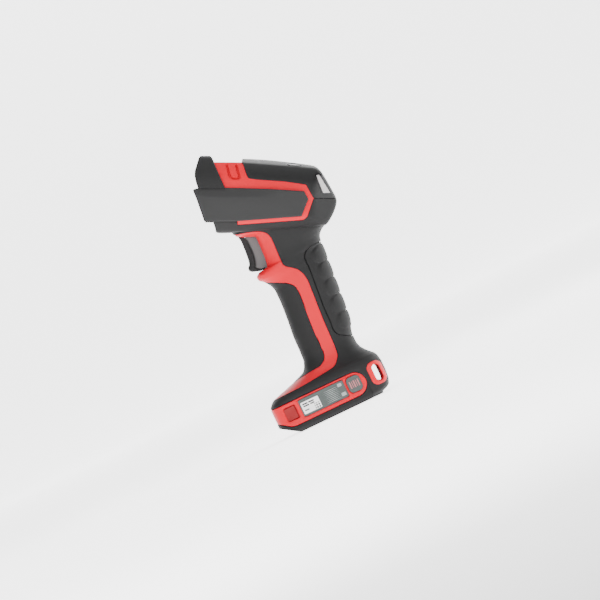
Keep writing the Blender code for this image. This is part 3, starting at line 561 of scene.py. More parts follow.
def spanned(first_row, last_row, first_column, last_column):
    """A patch between four border lines that share corners: the two straight blends, less the corner blend."""
    rows, columns = len(first_column), len(first_row)
    r = np.linspace(0, 1, rows)[:, None, None]
    c = np.linspace(0, 1, columns)[None, :, None]
    across = first_column[:, None] * (1 - c) + last_column[:, None] * c
    along = first_row[None] * (1 - r) + last_row[None] * r
    corners = ((first_row[0] * (1 - c) + first_row[-1] * c) * (1 - r)
               + (last_row[0] * (1 - c) + last_row[-1] * c) * r)
    return across + along - corners


def over_top(start, end, count):
    """A line from a point on the left flank over the barrel to one on the right, in even turns."""
    turn = np.linspace(np.arctan2(start[1], start[2] - BARREL_AXIS), np.arctan2(end[1], end[2] - BARREL_AXIS),
                       count)
    return placed(np.linspace(start[0], end[0], count), 30 * np.sin(turn), BARREL_AXIS + 30 * np.cos(turn))


def crowd_rows(patch, pull):
    """Draw a patch's rows and columns in towards its borders, so that its rolled edges stay fine."""
    for axis in (0, 1):
        count = patch.shape[axis]
        place = crowded(count, pull) * (count - 1)
        low = np.minimum(place.astype(int), count - 2)
        share = np.expand_dims(place - low, (1, 2)) if axis == 0 else np.expand_dims(place - low, (0, 2))
        patch = np.take(patch, low, axis) * (1 - share) + np.take(patch, low + 1, axis) * share
    return patch


def level(points):
    """Turn points from the barrel's own level frame into the scanner's frame."""
    x, z = points[..., 0], points[..., 2]
    return placed(BARREL_ORIGIN[0] + np.cos(LEAN) * x + np.sin(LEAN) * z, points[..., 1],
                  BARREL_ORIGIN[2] - np.sin(LEAN) * x + np.cos(LEAN) * z)


def barrel_piece(patch, radii, outer, inner):
    """A shell on the barrel between two insets; each border is rolled over by its own radius."""
    top = on_barrel(patch, 0.0)
    sides = ("1000", "0100", "0010", "0001")
    drop = np.max([rolled(top, radius, side) for radius, side in zip(radii, sides)], 0)
    return shell_mesh(level(on_barrel(patch, outer + drop)), level(on_barrel(patch, inner)))


FRAME_INSET = 0.35


def key_way(points, side):
    """Depth of the U-shaped groove round the clip tongue: a band round a squarish oval, 2 mm deep, whose
    legs run straight up."""
    x, z = points[..., 0], points[..., 2]
    middle_x = -46.6 - 0.30 * (z - 90)
    away = (np.abs(x - middle_x) ** 3.5 + np.abs(np.minimum(z - 88.0, 0)) ** 3.5) ** (1 / 3.5)
    groove = smooth(-np.abs(away - 3.3), -0.9, -0.45)
    return 2.0 * groove * smooth(-z, -95.3, -94.6) * (points[..., 1] * side > 0)


def red_patch_mesh():
    """Over the top behind the hood, from bumper to bumper; the groove is cut on both sides."""
    left = barrel_flank([(-61.5, 77.6), (-34.2, 77.2)], -1, 110)
    right = left * MIRROR
    patch = spanned(over_top(left[0], right[0], 320), over_top(left[-1], right[-1], 320), left, right)
    top = on_barrel(patch, 0.0)
    x, z = top[..., 0], top[..., 2]
    under = z - np.interp(x, [-40.2, -39.0, -37.2, -36.4, -35.4], [99, 92.5, 87.4, 86.0, 84.9])
    covered = smooth(under, 0.0, 0.5) * (x > -40.35)
    covered = np.maximum(covered, smooth(x, -40.5, -40.0) * (z > 95.0))
    sink = FRAME_INSET + 1.4 * covered + key_way(top, 1) + key_way(top, -1)
    outer, inner = on_barrel(patch, sink), on_barrel(patch, SHELL_INSIDE)
    outer[..., 2] = np.minimum(outer[..., 2], 95.9)
    inner[..., 2] = np.minimum(inner[..., 2], 94.4)
    return shell_mesh(level(outer), level(inner))


def red_band_mesh(side):
    """The frame as a strip from the patch round the bumper's rear and back along its foot."""
    inner_line = barrel_flank([(-34.2, 77.2), (-20, 76.4), (2.2, 74.9), (4.9, 70.0), (0.2, 58.7),
                               (-43.4, 55.3)], side, 260)
    outer_line = barrel_flank([(-34.2, 85.0), (-30, 84.4), (-10, 82.9), (4.5, 80.8), (9.9, 70.6), (5.1, 57.5),
                               (2.3, 55.3), (-43.4, 51.9)], side, 260)
    first = barrel_flank([(-34.2, 77.2), (-34.2, 85.0)], side, 14)
    last = barrel_flank([(-43.4, 55.3), (-43.4, 51.9)], side, 14)
    patch = spanned(inner_line, outer_line, first, last)
    return shell_mesh(level(on_barrel(patch, FRAME_INSET)), level(on_barrel(patch, 2.6)))


add_piece("barrel_red_frame", [red_patch_mesh(), red_band_mesh(-1), red_band_mesh(1)], "scanner",
          red_shell, ["barrel_housing"], sharp=35)

# ---- Top cover ---------------------------------------------------------------------------------------
# A hard black cover clipped over the barrel's back. Its front lip hooks the red patch; its rear slopes hold
# the two status windows.

black_plastic = moulded("black_plastic", (0.013, 0.013, 0.0132), (0.008, 0.008, 0.0082),
                        0.45, 0.40, 0.03, 0.0, 0.2)


COVER_FOOT = [(-35.5, 84.5), (-30, 83.7), (-10, 82.2), (0, 80.8), (4.1, 80.1), (9.2, 70.9)]
COVER_FRONT = [(-35.5, 84.5), (-36.6, 85.6), (-37.5, 87.6), (-40, 95.0), (-40.6, 96.2)]
COVER_RADII = (0.8, 0.3, 0.8, 0.8)
COVER_WALL = 1.3


def across_back(crease, count):
    """A border that runs in along one flank, straight across the back, and out along the other flank."""
    tip = np.linspace(crease[-1], crease[-1] * MIRROR, count)[1:-1]
    return np.concatenate([crease, tip, (crease * MIRROR)[::-1]])


def top_cover_mesh():
    """A patch from the front seam, which runs over the top, to the crease across the back."""
    foot = barrel_flank(COVER_FOOT, -1, 130)
    seam = barrel_flank(COVER_FRONT, -1, 60)
    over = over_top(seam[-1], seam[-1] * MIRROR, 142)[1:-1]
    front = np.concatenate([seam, over, (seam * MIRROR)[::-1]])
    rear = across_back(barrel_flank([(9.2, 70.9), (25.2, 70.9)], -1, 60), 142)
    patch = crowd_rows(spanned(front, rear, foot, foot * MIRROR), 0.7)
    return barrel_piece(patch, COVER_RADII, 0.0, COVER_WALL)


add_piece("top_cover_shell", [top_cover_mesh()], "scanner", black_plastic, ["top_cover"],
          sharp=60)

# ---- Belly rubber ------------------------------------------------------------------------------------
# Soft black rubber moulded round the barrel's underside and back, from the chin to the crease under the
# status windows.


def belly_mesh():
    """A patch from the chin, which runs round under the nose, to the crease across the back; its middle is
    let down by up to 12 mm before it is drawn onto the barrel."""
    chin_side = barrel_flank([(-60.7, 54.6), (-44.0, 54.4), (-43.6, 52.3)], -1, 40)
    low = barrel_flank([(-43.6, 52.3), (2.2, 55.6), (4.9, 57.8), (9.4, 70.65)], -1, 160)
    flank = np.concatenate([chin_side[:-1], low])
    rear = across_back(barrel_flank([(9.4, 70.65), (25.3, 70.65)], -1, 50), 62)
    start = flank[0]
    angle = np.arctan2(start[1], start[2] - BARREL_AXIS)
    turn = np.linspace(angle, -angle - 2 * np.pi, 160)
    chin = placed(start[0], 25 * np.sin(turn), BARREL_AXIS + 25 * np.cos(turn))
    chin[:, 0] += 0.30 * (54.6 - on_barrel(chin[None], 0.0)[0, :, 2])
    chin[0], chin[-1] = start, start * MIRROR
    patch = spanned(chin, rear, flank, flank * MIRROR)
    rows, columns = patch.shape[:2]
    patch[..., 2] -= (12 * np.sin(np.pi * np.linspace(0, 1, columns))[None, :]
                      * np.sin(np.pi * np.linspace(0, 1, rows))[:, None])
    return barrel_piece(crowd_rows(patch, 0.6), COVER_RADII, 0.0, COVER_WALL)


add_piece("belly_rubber", [belly_mesh()], "scanner", black_rubber, ["belly_skin"],
          sharp=60)

# ---- Side bumpers ------------------------------------------------------------------------------------
# Thick grey-black rubber pads on the barrel's flanks. A crease two thirds of the way up fades out towards
# the rear; the edges are rolled.

grey_rubber = moulded("bumper_rubber", (0.027, 0.027, 0.0273), (0.021, 0.021, 0.0212),
                      0.6, 0.35, 0.04, 0.0, 0.15)


BUMPER_TOP = [(-74.5, 76.2), (-73.6, 77.2), (-70.5, 77.8), (-53, 78.1), (-38, 77.8), (-20, 77.2), (2.9, 75.7)]
BUMPER_REAR = [(2.9, 75.7), (5.9, 70.2), (1.1, 58.1)]
BUMPER_LOW = [(-66.6, 54.6), (-45, 54.6), (1.1, 58.1)]
BUMPER_NOSE = [(-74.5, 76.2), (-72.0, 70.2), (-66.6, 54.6)]
BUMPER_CREASE = 71.0
BUMPER_SKIN = 37.45
BUMPER_BED = 33.2


def bumper_mesh(side):
    """A side-view patch; its depth is the least of an upper and a lower slope and the tapers at both ends."""
    borders = [placed(x, 0.0, z) for x, z in (evenly(BUMPER_TOP, 210), evenly(BUMPER_LOW, 210),
                                              evenly(BUMPER_NOSE, 90), evenly(BUMPER_REAR, 90))]
    patch = crowd_rows(spanned(*borders), 0.75)
    x, z = patch[..., 0], patch[..., 2]
    fade = smooth(-x, -2, 40)
    above = z - BUMPER_CREASE
    upper = BUMPER_SKIN - (0.30 * fade + 0.03) * above
    lower = BUMPER_SKIN + 0.085 * above - 0.0012 * above ** 2
    tail = 37.3 - 1.9 * smooth(x, -22, 8) - 0.4 * smooth(x, 0, 8)
    nose = 37.4 - 0.9 * smooth(-x, 60, 76)
    limits = np.stack([upper, lower, tail, nose], -1)
    least, blend = limits.min(-1), 0.10 + 0.25 * (1 - fade)
    spread = np.exp(-(limits - least[..., None]) / blend[..., None]).sum(-1)
    depth = least - blend * np.log(spread) - 0.05
    depth = depth - rolled(placed(x, depth, z), 1.1, "1111")
    return shell_mesh(level(placed(x, side * depth, z)), level(placed(x, side * BUMPER_BED, z)))


for side, word in ((-1, "left"), (1, "right")):
    add_piece("bumper_" + word, [bumper_mesh(side)], "scanner", grey_rubber,
              ["side_bumper_" + word], sharp=60)

# ---- Nose hood ---------------------------------------------------------------------------------------
# A black rubber arch round the top of the scan window. It stands out in front of the window like an eyebrow
# and takes the knock when the scanner is dropped on its nose.

HOOD_SECTION = np.array([(0.0, 100.6), (17.0, 100.6), (23.5, 99.8), (27.6, 97.4), (31.2, 93.3), (34.4, 87.8),
                         (35.8, 82.5), (36.2, 77.4)])
HOOD_INSIDE = np.array([(0.0, 95.5), (17.0, 95.5), (21.2, 95.0), (24.0, 93.8), (27.6, 91.0), (30.1, 86.6),
                        (31.2, 82.0), (31.5, 77.4)])


def hood_mesh():
    """Each column runs round the arch; each row runs from the slanted front rim back to the rear rim. A
    shallow slot is pressed across the top."""
    share = np.linspace(-1, 1, 321)
    knots = np.linspace(0, 1, len(HOOD_SECTION))
    y, z = (follow(knots, HOOD_SECTION[:, k], np.abs(share)) for k in (0, 1))
    inside_y, inside_z = (follow(knots, HOOD_INSIDE[:, k], np.abs(share)) for k in (0, 1))
    y, inside_y = np.sign(share) * y, np.sign(share) * inside_y
    front = np.interp(z, [77.4, 81.4, 87, 90, 96, 99.2, 100.6],
                      [-70.8, -72.2, -73.3, -73.2, -71.6, -70.7, -69.9])
    rear = np.interp(z, [77.4, 95, 98.2, 99.9, 100.6], [-51.9, -59.4, -60.7, -61.4, -62.3])
    x = front + (rear - front) * crowded(70, 0.75)[:, None]
    outer, inner = placed(x, y, z), placed(x, inside_y, inside_z)
    inward = inner - outer
    inward = inward / np.linalg.norm(inward, axis=-1, keepdims=True)
    slot = 0.8 * smooth(-np.abs(x + 63.6), -1.3, -1.0) * smooth(-np.abs(y), -16.5, -16.0)
    sink = rolled(outer, 0.9, "1100") + slot
    return shell_mesh(level(outer + inward * sink[..., None]), level(inner))


add_piece("nose_hood_rubber", [hood_mesh()], "scanner", black_rubber, ["nose_hood"], sharp=50)

# ---- Heel --------------------------------------------------------------------------------------------
# The back of the foot: black rubber moulded in one with the rear overmould. It is open where the red lanyard
# eye passes through, and its front edge is hollowed to take the pack's round end.

FOOT_FRONT = -44.4
FOOT_REAR = 40.4
FOOT_WIDTH = 29.0
FOOT_POWER = 4.5
PACK_ARC = 8.35
PACK_ARC_X = 16.85
PACK_ARC_Z = 13.85


def foot_length(z, sloped):
    """Middle and half length of the foot's oval at height z; the heel's back slopes in underneath."""
    slope = np.interp(z, [0, 0.5, 4, 8, 15, 22, 22.6], [-7.8, -7.0, -1.8, -0.3, 0.3, 0.2, 0.0])
    rear = FOOT_REAR + sloped * slope
    return (rear + FOOT_FRONT) / 2, (rear - FOOT_FRONT) / 2


def foot_points(z, turn, inset, sloped=0.0):
    """The foot's skin: an almost square oval, drawn in under a chamfer 2.8 mm high."""
    middle, half_length = foot_length(z, sloped)
    low = 2.6 * (1 - np.clip(z / 2.8, 0, 1)) ** 1.2
    reach = oval_radius(turn, half_length - low - inset, FOOT_WIDTH - low - inset, FOOT_POWER)
    return placed(middle + reach * np.cos(turn), reach * np.sin(turn), z)


def foot_turn(z, x, sloped=0.0):
    """The turn at which the foot's oval passes x."""
    middle, half_length = foot_length(z, sloped)
    q = np.clip((x - middle) / half_length, -1, 1)
    return np.arctan2(FOOT_WIDTH * (1 - np.abs(q) ** FOOT_POWER) ** (1 / FOOT_POWER), q * half_length)


def cut_shell(outer, inner, keep):
    """A closed shell of the kept cells of two matched grids, with a wall along every free edge."""
    rows, columns = outer.shape[:2]
    size = rows * columns
    index = np.arange(size).reshape(rows, columns)
    front = grid_faces(rows, columns)[keep.ravel()]
    back = grid_faces(rows, columns, size)[keep.ravel()][:, ::-1]
    ring = np.pad(keep, 1)
    level_edge = ring[:-1, 1:-1] != ring[1:, 1:-1]
    upright_edge = ring[1:-1, :-1] != ring[1:-1, 1:]
    a = np.concatenate([index[:, :-1][level_edge], index[:-1, :][upright_edge]])
    b = np.concatenate([index[:, 1:][level_edge], index[1:, :][upright_edge]])
    walls = np.stack([a, b, b + size, a + size], -1)
    return np.concatenate([outer.reshape(-1, 3), inner.reshape(-1, 3)]), np.concatenate([front, back, walls])


def box_distance(x, z, middle_x, middle_z, half_x, half_z, radius):
    """How far a side-view point lies outside a rectangle with round corners; negative inside."""
    out_x, out_z = np.abs(x - middle_x) - half_x + radius, np.abs(z - middle_z) - half_z + radius
    beyond = np.hypot(np.maximum(out_x, 0), np.maximum(out_z, 0))
    return beyond + np.minimum(np.maximum(out_x, out_z), 0) - radius


def heel_mesh():
    """Round the back from one end of the pack to the other, less the cells where the eye passes through."""
    z = np.concatenate([np.linspace(0.0, 3.0, 14)[:-1], np.linspace(3.0, 22.55, 90)])[:, None]
    arc = PACK_ARC_X + np.sqrt(np.clip((PACK_ARC + 0.2) ** 2 - (z - PACK_ARC_Z) ** 2, 0, None))
    front_x = np.where(z < PACK_ARC_Z, 25.4, arc)
    edge = foot_turn(z, front_x, 1.0)
    turn = -edge + 2 * edge * crowded(241, 0.3)[None, :]
    flat = foot_points(z, turn, 0.0, 1.0)
    outer = foot_points(z, turn, np.maximum(rolled(flat, 0.3, "0011"), rolled(flat, 0.5, "1000")), 1.0)
    inner = foot_points(z, turn, 2.2, 1.0)
    inner[..., 2] = np.maximum(inner[..., 2], 0.0)
    eye = box_distance(flat[..., 0], flat[..., 2], 33.95, 14.75, 5.6, 8.4, 4.4)
    middle = (eye[1:, 1:] + eye[:-1, 1:] + eye[1:, :-1] + eye[:-1, :-1]) / 4
    return cut_shell(outer, inner, middle > -0.9)


def heel_floor_mesh():
    """The plate under the heel, between its rear rim and the pack's end."""
    x = np.linspace(25.6, 32.4, 12)[:, None]
    width = np.abs(foot_points(0 * x, foot_turn(0 * x, x, 1.0), 0.0, 1.0)[..., 1])
    outer = placed(x, width * np.linspace(-0.96, 0.96, 30)[None, :], 0.02)
    return shell_mesh(outer, outer + (0, 0, 1.6))


add_piece("heel_rubber", [heel_mesh(), heel_floor_mesh()], "scanner", black_rubber)

# ---- Lanyard eye -------------------------------------------------------------------------------------
# A red nylon ring through the heel; it is part of the shells, and the rubber is moulded round it.


def box_reach(turn, half_x, half_z, radius, far):
    """How far it is from the middle of a round-cornered rectangle to its outline, at each turn."""
    return furthest(lambda r: box_distance(r * np.cos(turn), r * np.sin(turn), 0, 0, half_x, half_z, radius) < 0,
                    far, turn.shape, 30)


def eye_mesh():
    """A loop of side-view outlines, from the outer outline in to the hole, through it and out again."""
    turn = np.linspace(0, 2 * np.pi, 240, endpoint=False)[None, :]
    share = crowded(34, 0.8)[:, None]
    reach = box_reach(turn, 5.75, 8.5, 4.5, 30.0) * (1 - share) + box_reach(turn, 2.6, 6.0, 2.55, 30.0) * share
    middle_x = 33.95 + 0.65 * share
    x, z = middle_x + reach * np.cos(turn), 14.85 + reach * np.sin(turn)
    y = np.abs(foot_points(z, foot_turn(z, x, 1.0), 0.0, 1.0)[..., 1])
    y = y + 0.25 - rolled(placed(x, y, z), 1.0, "1100")
    cross = np.linspace(1, -1, 16)[1:-1, None]
    swell = 1 - cross ** 2
    waist = 1.9 * swell * smooth(x[-1:], 34.0, 37.5)
    through = placed(x[-1:] - waist, y[-1:] * cross, z[-1:])
    back = placed(x[:1] - 0.7 * swell, -y[:1] * cross, z[:1])
    loop = np.concatenate([placed(x, y, z), through, placed(x, -y, z)[::-1], back])
    loop = np.concatenate([loop, loop[:1]])
    return loop.reshape(-1, 3), grid_faces(loop.shape[0], loop.shape[1], 0, True)


add_piece("lanyard_eye_ring", [eye_mesh()], "scanner", red_shell, ["lanyard_eye"])

# ---- Battery pack case -------------------------------------------------------------------------------
# The pack's red upper case: a band round the toe with a round back end, sunk for the label panel, the badge
# and the release button, and a flat roof under the rim of the grip with the slide rail on it.

PANEL_BED = (-7.4, 14.5, 17.6, 6.5, 0.8, 1.3)
BADGE_BED = (16.6, 14.45, 5.4, 6.0, 3.4, 1.5)
BUTTON_BED = (-32.2, 14.6, 4.7, 5.0, 1.3, 2.2)
BEDS = (PANEL_BED, BADGE_BED, BUTTON_BED)
SEAM_Z = ([-46, -44.3, -36.6, -34.0, -32.0, 40], [11.6, 11.6, 6.5, 5.6, 5.4, 5.4])


def pack_profile(x):
    """Lower and upper edges of the red case at x."""
    arc = np.sqrt(np.clip(PACK_ARC ** 2 - np.clip(x - PACK_ARC_X, 0, None) ** 2, 0, None))
    low = np.where(x > PACK_ARC_X, PACK_ARC_Z - arc, np.interp(x, *SEAM_Z))
    return low, np.where(x > PACK_ARC_X, PACK_ARC_Z + arc, 22.2)


def toe_chamfer(points):
    """Cut the underside of the toe along the line from (-31, 0) to (-50, 12)."""
    x, y, z = points[..., 0], points[..., 1], points[..., 2]
    return placed(x, y, np.maximum(z, (-31.0 - x) * 12 / 19))


def pack_turns():
    """Turns from the pack's back end round the toe to the other side, close together on the flanks."""
    end = PACK_ARC_X + PACK_ARC * np.sin(np.linspace(np.pi / 2, 0, 26))
    flank = np.concatenate([end, np.linspace(16.6, -37.5, 140)])
    first = foot_turn(15.0, flank)
    toe = np.linspace(first[-1], 2 * np.pi - first[-1], 60)[1:-1]
    return np.concatenate([first, toe, 2 * np.pi - first[::-1]])[None, :]


def drawn_in(edge, shares):
    """Rows that run from an edge row in to the mirror plane, by the given shares of its width."""
    return placed(edge[..., 0], edge[..., 1] * shares, edge[..., 2])


def pack_case_mesh():
    """The band with its sunk beds, each with a fine ridge round it and a seam under the roof; then the roof."""
    turn = pack_turns()
    x = foot_points(15.0, turn, 0.0)[..., 0]
    low, high = pack_profile(x)
    z = low + (high - low) * crowded(72, 0.4)[:, None]
    flat = foot_points(z, turn, 0.0)
    drop = 0.15 + rolled(flat, 0.5, "1100")
    for middle_x, middle_z, half_x, half_z, radius, depth in BEDS:
        away = box_distance(flat[..., 0], flat[..., 2], middle_x, middle_z, half_x, half_z, radius)
        drop = drop + depth * smooth(-away, -0.12, 0.12) + 0.12 * smooth(-np.abs(away - 0.5), -0.5, -0.1)
    drop = drop + 0.6 * smooth(-np.abs(high - z - 1.15), -0.5, -0.1) * smooth(x, -27, -25)
    band = foot_points(z, turn, drop)
    inner_band = foot_points(z, turn, 3.0)
    inner_band[..., 2] = np.minimum(inner_band[..., 2], np.maximum(high - 1.5, low + 0.05))
    shares = np.linspace(1, 0, 14)[1:, None]
    outer, inner = (np.concatenate([part, drawn_in(part[-1:], shares)]) for part in (band, inner_band))
    return shell_mesh(outer, inner)


def rail_mesh():
    """A T-shaped rail, drawn along X."""
    section = np.array([(-9, 22.0), (-9, 23.6), (-11, 23.8), (-11, 24.9), (-10.8, 25.0),
                        (10.8, 25.0), (11, 24.9), (11, 23.8), (9, 23.6), (9, 22.0)])
    x = np.linspace(-42.3, 14.0, 30)[:, None]
    return shell_mesh(placed(x, section[:, 0], section[:, 1]), placed(x, 0.6 * section[:, 0], 22.05))


add_piece("pack_case", [pack_case_mesh(), rail_mesh()], "battery_pack", red_shell, ["pack_housing"])

# ---- Battery pack skirt ------------------------------------------------------------------------------
# The black rubber tray under the red case; it is what the scanner stands on.


def pack_skirt_mesh():
    """The tray's floor out from the mirror plane, then its side up to the red case."""
    turn = pack_turns()
    x = foot_points(15.0, turn, 0.0)[..., 0]
    low, _ = pack_profile(x)
    top = np.where(x > PACK_ARC_X, np.maximum(low, 5.1), low) - 0.25
    u = np.linspace(0, 1, 16)[:-1, None]
    s = crowded(34, 0.7)[:, None]
    z = top * s
    side = foot_points(z, turn, 0.0)
    side = foot_points(z, turn, rolled(side, 0.5, "0100"))
    outer = toe_chamfer(np.concatenate([drawn_in(side[:1], u), side]))
    lid = np.concatenate([np.minimum(top, 0 * top + 12), top])[:1]
    outer[..., 2] = np.minimum(outer[..., 2], lid)
    inner = outer * (0.985, 0.90, 1) + (0.2, 0, 0)
    inner[..., 2] = np.minimum(outer[..., 2] + 1.5 * np.concatenate([u * 0 + 1, 1 - s]), lid - 0.02)
    return shell_mesh(outer, inner)


add_piece("pack_tray", [pack_skirt_mesh()], "battery_pack", black_rubber, ["pack_skirt"])

# ---- Label panel, label, badge and release buttons ---------------------------------------------------
# A matt grey film panel on each flank carries a white label and grey print. The round-ended badge behind it
# has five raised bars. The release button is a square red key, sunk in its pocket and dished for a fingertip.

dark_print = moulded("label_print", (0.03, 0.03, 0.032), (0.02, 0.02, 0.022), 0.5, 0.4, 0.004)
pale_print = moulded("panel_print", (0.30, 0.33, 0.32), (0.26, 0.29, 0.28), 0.5, 0.4, 0.004)
badge_bars = moulded("badge_bars", (0.45, 0.16, 0.17), (0.36, 0.12, 0.13), 0.5, 0.4, 0.01)
grey_film = moulded("panel_film", (0.062, 0.073, 0.070), (0.055, 0.065, 0.062), 0.5, 0.5, 0.01)
white_film = moulded("white_label_film", (0.88, 0.88, 0.87), (0.80, 0.80, 0.79), 0.55, 0.5, 0.005)
red_button = moulded("red_button_plastic", (0.26, 0.010, 0.012), (0.20, 0.006, 0.008), 0.5, 0.35, 0.03, 0.0, 0.2)


def plate_mesh(side, shape, outer_inset, inner_inset, roll, dish=0.0, fine=96):
    """Rings of a round-cornered outline, from the middle out, over the edge and back beneath."""
    middle_x, middle_z, half_x, half_z, radius = shape
    turn = np.linspace(0, 2 * np.pi, fine, endpoint=False)[None, :]
    reach = box_reach(turn, half_x, half_z, radius, 60.0)
    ring = np.concatenate([np.linspace(0, 0.86, fine // 9), np.linspace(0.86, 1, fine // 12)[1:]])[:, None]
    x, z = middle_x + ring * reach * np.cos(turn), middle_z + ring * reach * np.sin(turn)
    wide = foot_points(z, foot_turn(z, x), 0.0)[..., 1]
    away = box_distance(x, z, middle_x, middle_z, half_x, half_z, radius)
    short = np.clip(1 + away / roll, 0, 1)
    y = wide - outer_inset - roll * (1 - np.sqrt(1 - short ** 2)) - dish * (1 - ring ** 2)
    points = np.concatenate([placed(x, side * y, z), placed(x, side * (wide - inner_inset), z)[::-1]])
    return points.reshape(-1, 3), grid_faces(points.shape[0], points.shape[1], 0, True)


LABEL_BARS = [(-20.6, 16.7, 2.1, 0.5, 0.1), (-15.9, 16.7, 2.2, 0.5, 0.1), (-20.2, 15.2, 2.4, 0.5, 0.1),
              (-15.6, 15.2, 1.6, 0.5, 0.1), (-20.9, 12.2, 1.7, 0.42, 0.1)]
CODE_CELLS = [(-14.6 + 0.56 * i, 10.5 + 0.56 * j, 0.29, 0.29, 0.05) for i in range(7) for j in range(7)
              if (i * 7 + j * 5 + i * j) % 3 != 1]
PANEL_LINES = [(-0.6 - 0.2 * (k % 2), 9.9 + 1.15 * k, 6.6 - 0.5 * (k % 3), 0.16, 0.05) for k in range(8)]
PANEL_MARKS = [(6.6, 18.2, 1.5, 1.1, 0.5), (7.0, 11.2, 1.7, 1.2, 0.6)]
BADGE_BARS = [(13.6 + 1.5 * k, 14.45, (0.42, 0.25, 0.5, 0.25, 0.42)[k], 2.6, 0.2) for k in range(5)]

for side, word in ((-1, "left"), (1, "right")):
    add_piece("panel_film_" + word, [plate_mesh(side, (-7.4, 14.5, 17.35, 6.25, 0.7), 0.35, 1.2, 0.25)],
              "battery_pack", grey_film, ["label_panel_" + word])
    add_piece("white_label_" + word, [plate_mesh(side, (-16.9, 14.05, 6.7, 4.25, 0.4), 0.17, 0.5, 0.12)],
              "battery_pack", white_film, ["label_" + word])
    add_piece("label_print_" + word,
              [plate_mesh(side, bar, 0.11, 0.3, 0.05, fine=24) for bar in LABEL_BARS + CODE_CELLS],
              "battery_pack", dark_print)
    add_piece("panel_print_" + word,
              [plate_mesh(side, bar, 0.29, 0.5, 0.05, fine=36) for bar in PANEL_LINES + PANEL_MARKS],
              "battery_pack", pale_print)
    add_piece("round_badge_" + word, [plate_mesh(side, (16.6, 14.45, 5.1, 5.7, 3.1), 0.3, 1.5, 0.5)],
              "battery_pack", grey_film, ["badge_" + word])
    add_piece("badge_bars_" + word, [plate_mesh(side, bar, 0.12, 0.6, 0.12, fine=48) for bar in BADGE_BARS],
              "battery_pack", badge_bars)
    add_piece("release_key_" + word, [plate_mesh(side, (-32.2, 14.6, 4.4, 4.7, 1.1), 0.8, 4.0, 0.7, 0.45)],
              "release_" + word, red_button, ["release_button_" + word])

# ---- Trigger -----------------------------------------------------------------------------------------
# A grey glass-filled nylon lever, hollow at the back, with a black rubber face for the finger. It swings on a
# steel pin under the barrel.

grey_plastic = moulded("trigger_plastic", (0.090, 0.087, 0.087), (0.075, 0.072, 0.072), 0.45, 0.30, 0.02)
TRIGGER_HALF_WIDTH = 8.0
LEVER_FRONT = [(115.3, -5.0), (116.2, -9.6), (117.6, -11.9), (119.4, -11.0), (123, -9.6), (130, -8.8),
               (135, -9.0), (139.4, -10.6), (141.6, -9.9)]
FACE_FRONT = [(113.6, -8.0), (114.6, -12.6), (116.0, -15.2), (117.6, -15.95), (119.0, -15.7), (121, -14.0),
              (125, -13.1), (133, -12.4), (138, -12.2), (141.9, -12.9)]


def channel_mesh(z, front, rear, half_width, wall, power):
    """Walls that run round the front from one open end to the other, in plan a squarish half oval. With no
    wall given the back is filled. The bottom and top edges slant down towards the back."""
    turn = np.linspace(0, np.pi, 90)[None, :]
    s = np.sin(turn)
    depth = rear - front
    y = half_width * np.sign(np.cos(turn)) * np.abs(np.cos(turn)) ** (2 / power)
    x = rear - depth * s ** (2 / power)
    inside_y = y * (half_width - wall) / half_width
    inside_x = rear - (depth - wall) * s ** (2 / power) if wall else rear + 0 * x
    z = z - 0.34 * np.clip(x + 13.5, 0, 7) * smooth(-z, -123, -115.8)
    z = z - 0.45 * np.clip(x + 9.5, 0, 11) * smooth(z, 133, 141.4)
    outer, inner = placed(x, y, z), placed(inside_x, 0.96 * inside_y, z)
    sink = rolled(outer, 0.9, "1100")[..., None]
    way = inner - outer
    return shell_mesh(outer + way / np.linalg.norm(way, axis=-1, keepdims=True) * sink, inner)


def lip_mesh():
    """The face's lower lip: a plate that slants down towards the back, with its front corners drawn in."""
    x = np.linspace(-14.6, -4.8, 30)[:, None]
    y = TRIGGER_HALF_WIDTH * np.linspace(-1, 1, 30)[None, :]
    z = np.maximum(116.6 - 0.34 * (x + 14.6), 114.7)
    corner = 1.8 * np.abs(y / TRIGGER_HALF_WIDTH) ** 5 * smooth(-x, 9, 15)
    top = placed(x + corner, y, z)
    return shell_mesh(top, top - (0, 0, 1.1))


lever_z = crowded(120, 0.6)[:, None] * 25.8 + 115.6
lever = channel_mesh(lever_z, line_at(LEVER_FRONT, lever_z) + 0.05,
                     np.interp(lever_z, [115.5, 118, 128, 137, 138.8, 142], [0.0, 2.0, 2.4, 1.8, 1.2, 0.6]),
                     TRIGGER_HALF_WIDTH - 0.05, 2.3, 6.0)
add_piece("trigger_lever_body", [lever], "trigger", grey_plastic, ["trigger_lever"])
face_z = crowded(140, 0.6)[:, None] * 26.0 + 115.7
face = channel_mesh(face_z, line_at(FACE_FRONT, face_z),
                    line_at(LEVER_FRONT, face_z) + 0.4 + 1.3 * smooth(face_z, 133.5, 137.0),
                    TRIGGER_HALF_WIDTH, 0.0, 4.5)
add_piece("trigger_face", [face, lip_mesh()], "trigger", black_rubber, ["trigger_pad"])

# ---- Barrel nose -------------------------------------------------------------------------------------
# A black nylon rim pushed into the front of the barrel, round the scan window. It is set back under the
# hood, and its face slants with the chin.


NOSE_STATIONS = [(-44.0, 2.7, 0), (-52.0, 2.7, 0), (-62.0, 2.8, 0), (-66.4, 3.3, 0.12), (-66.4, 3.3, 1.0),
                 (-62.0, 3.3, 1.0), (-46.0, 3.3, 1.0), (-44.0, 4.6, 0)]


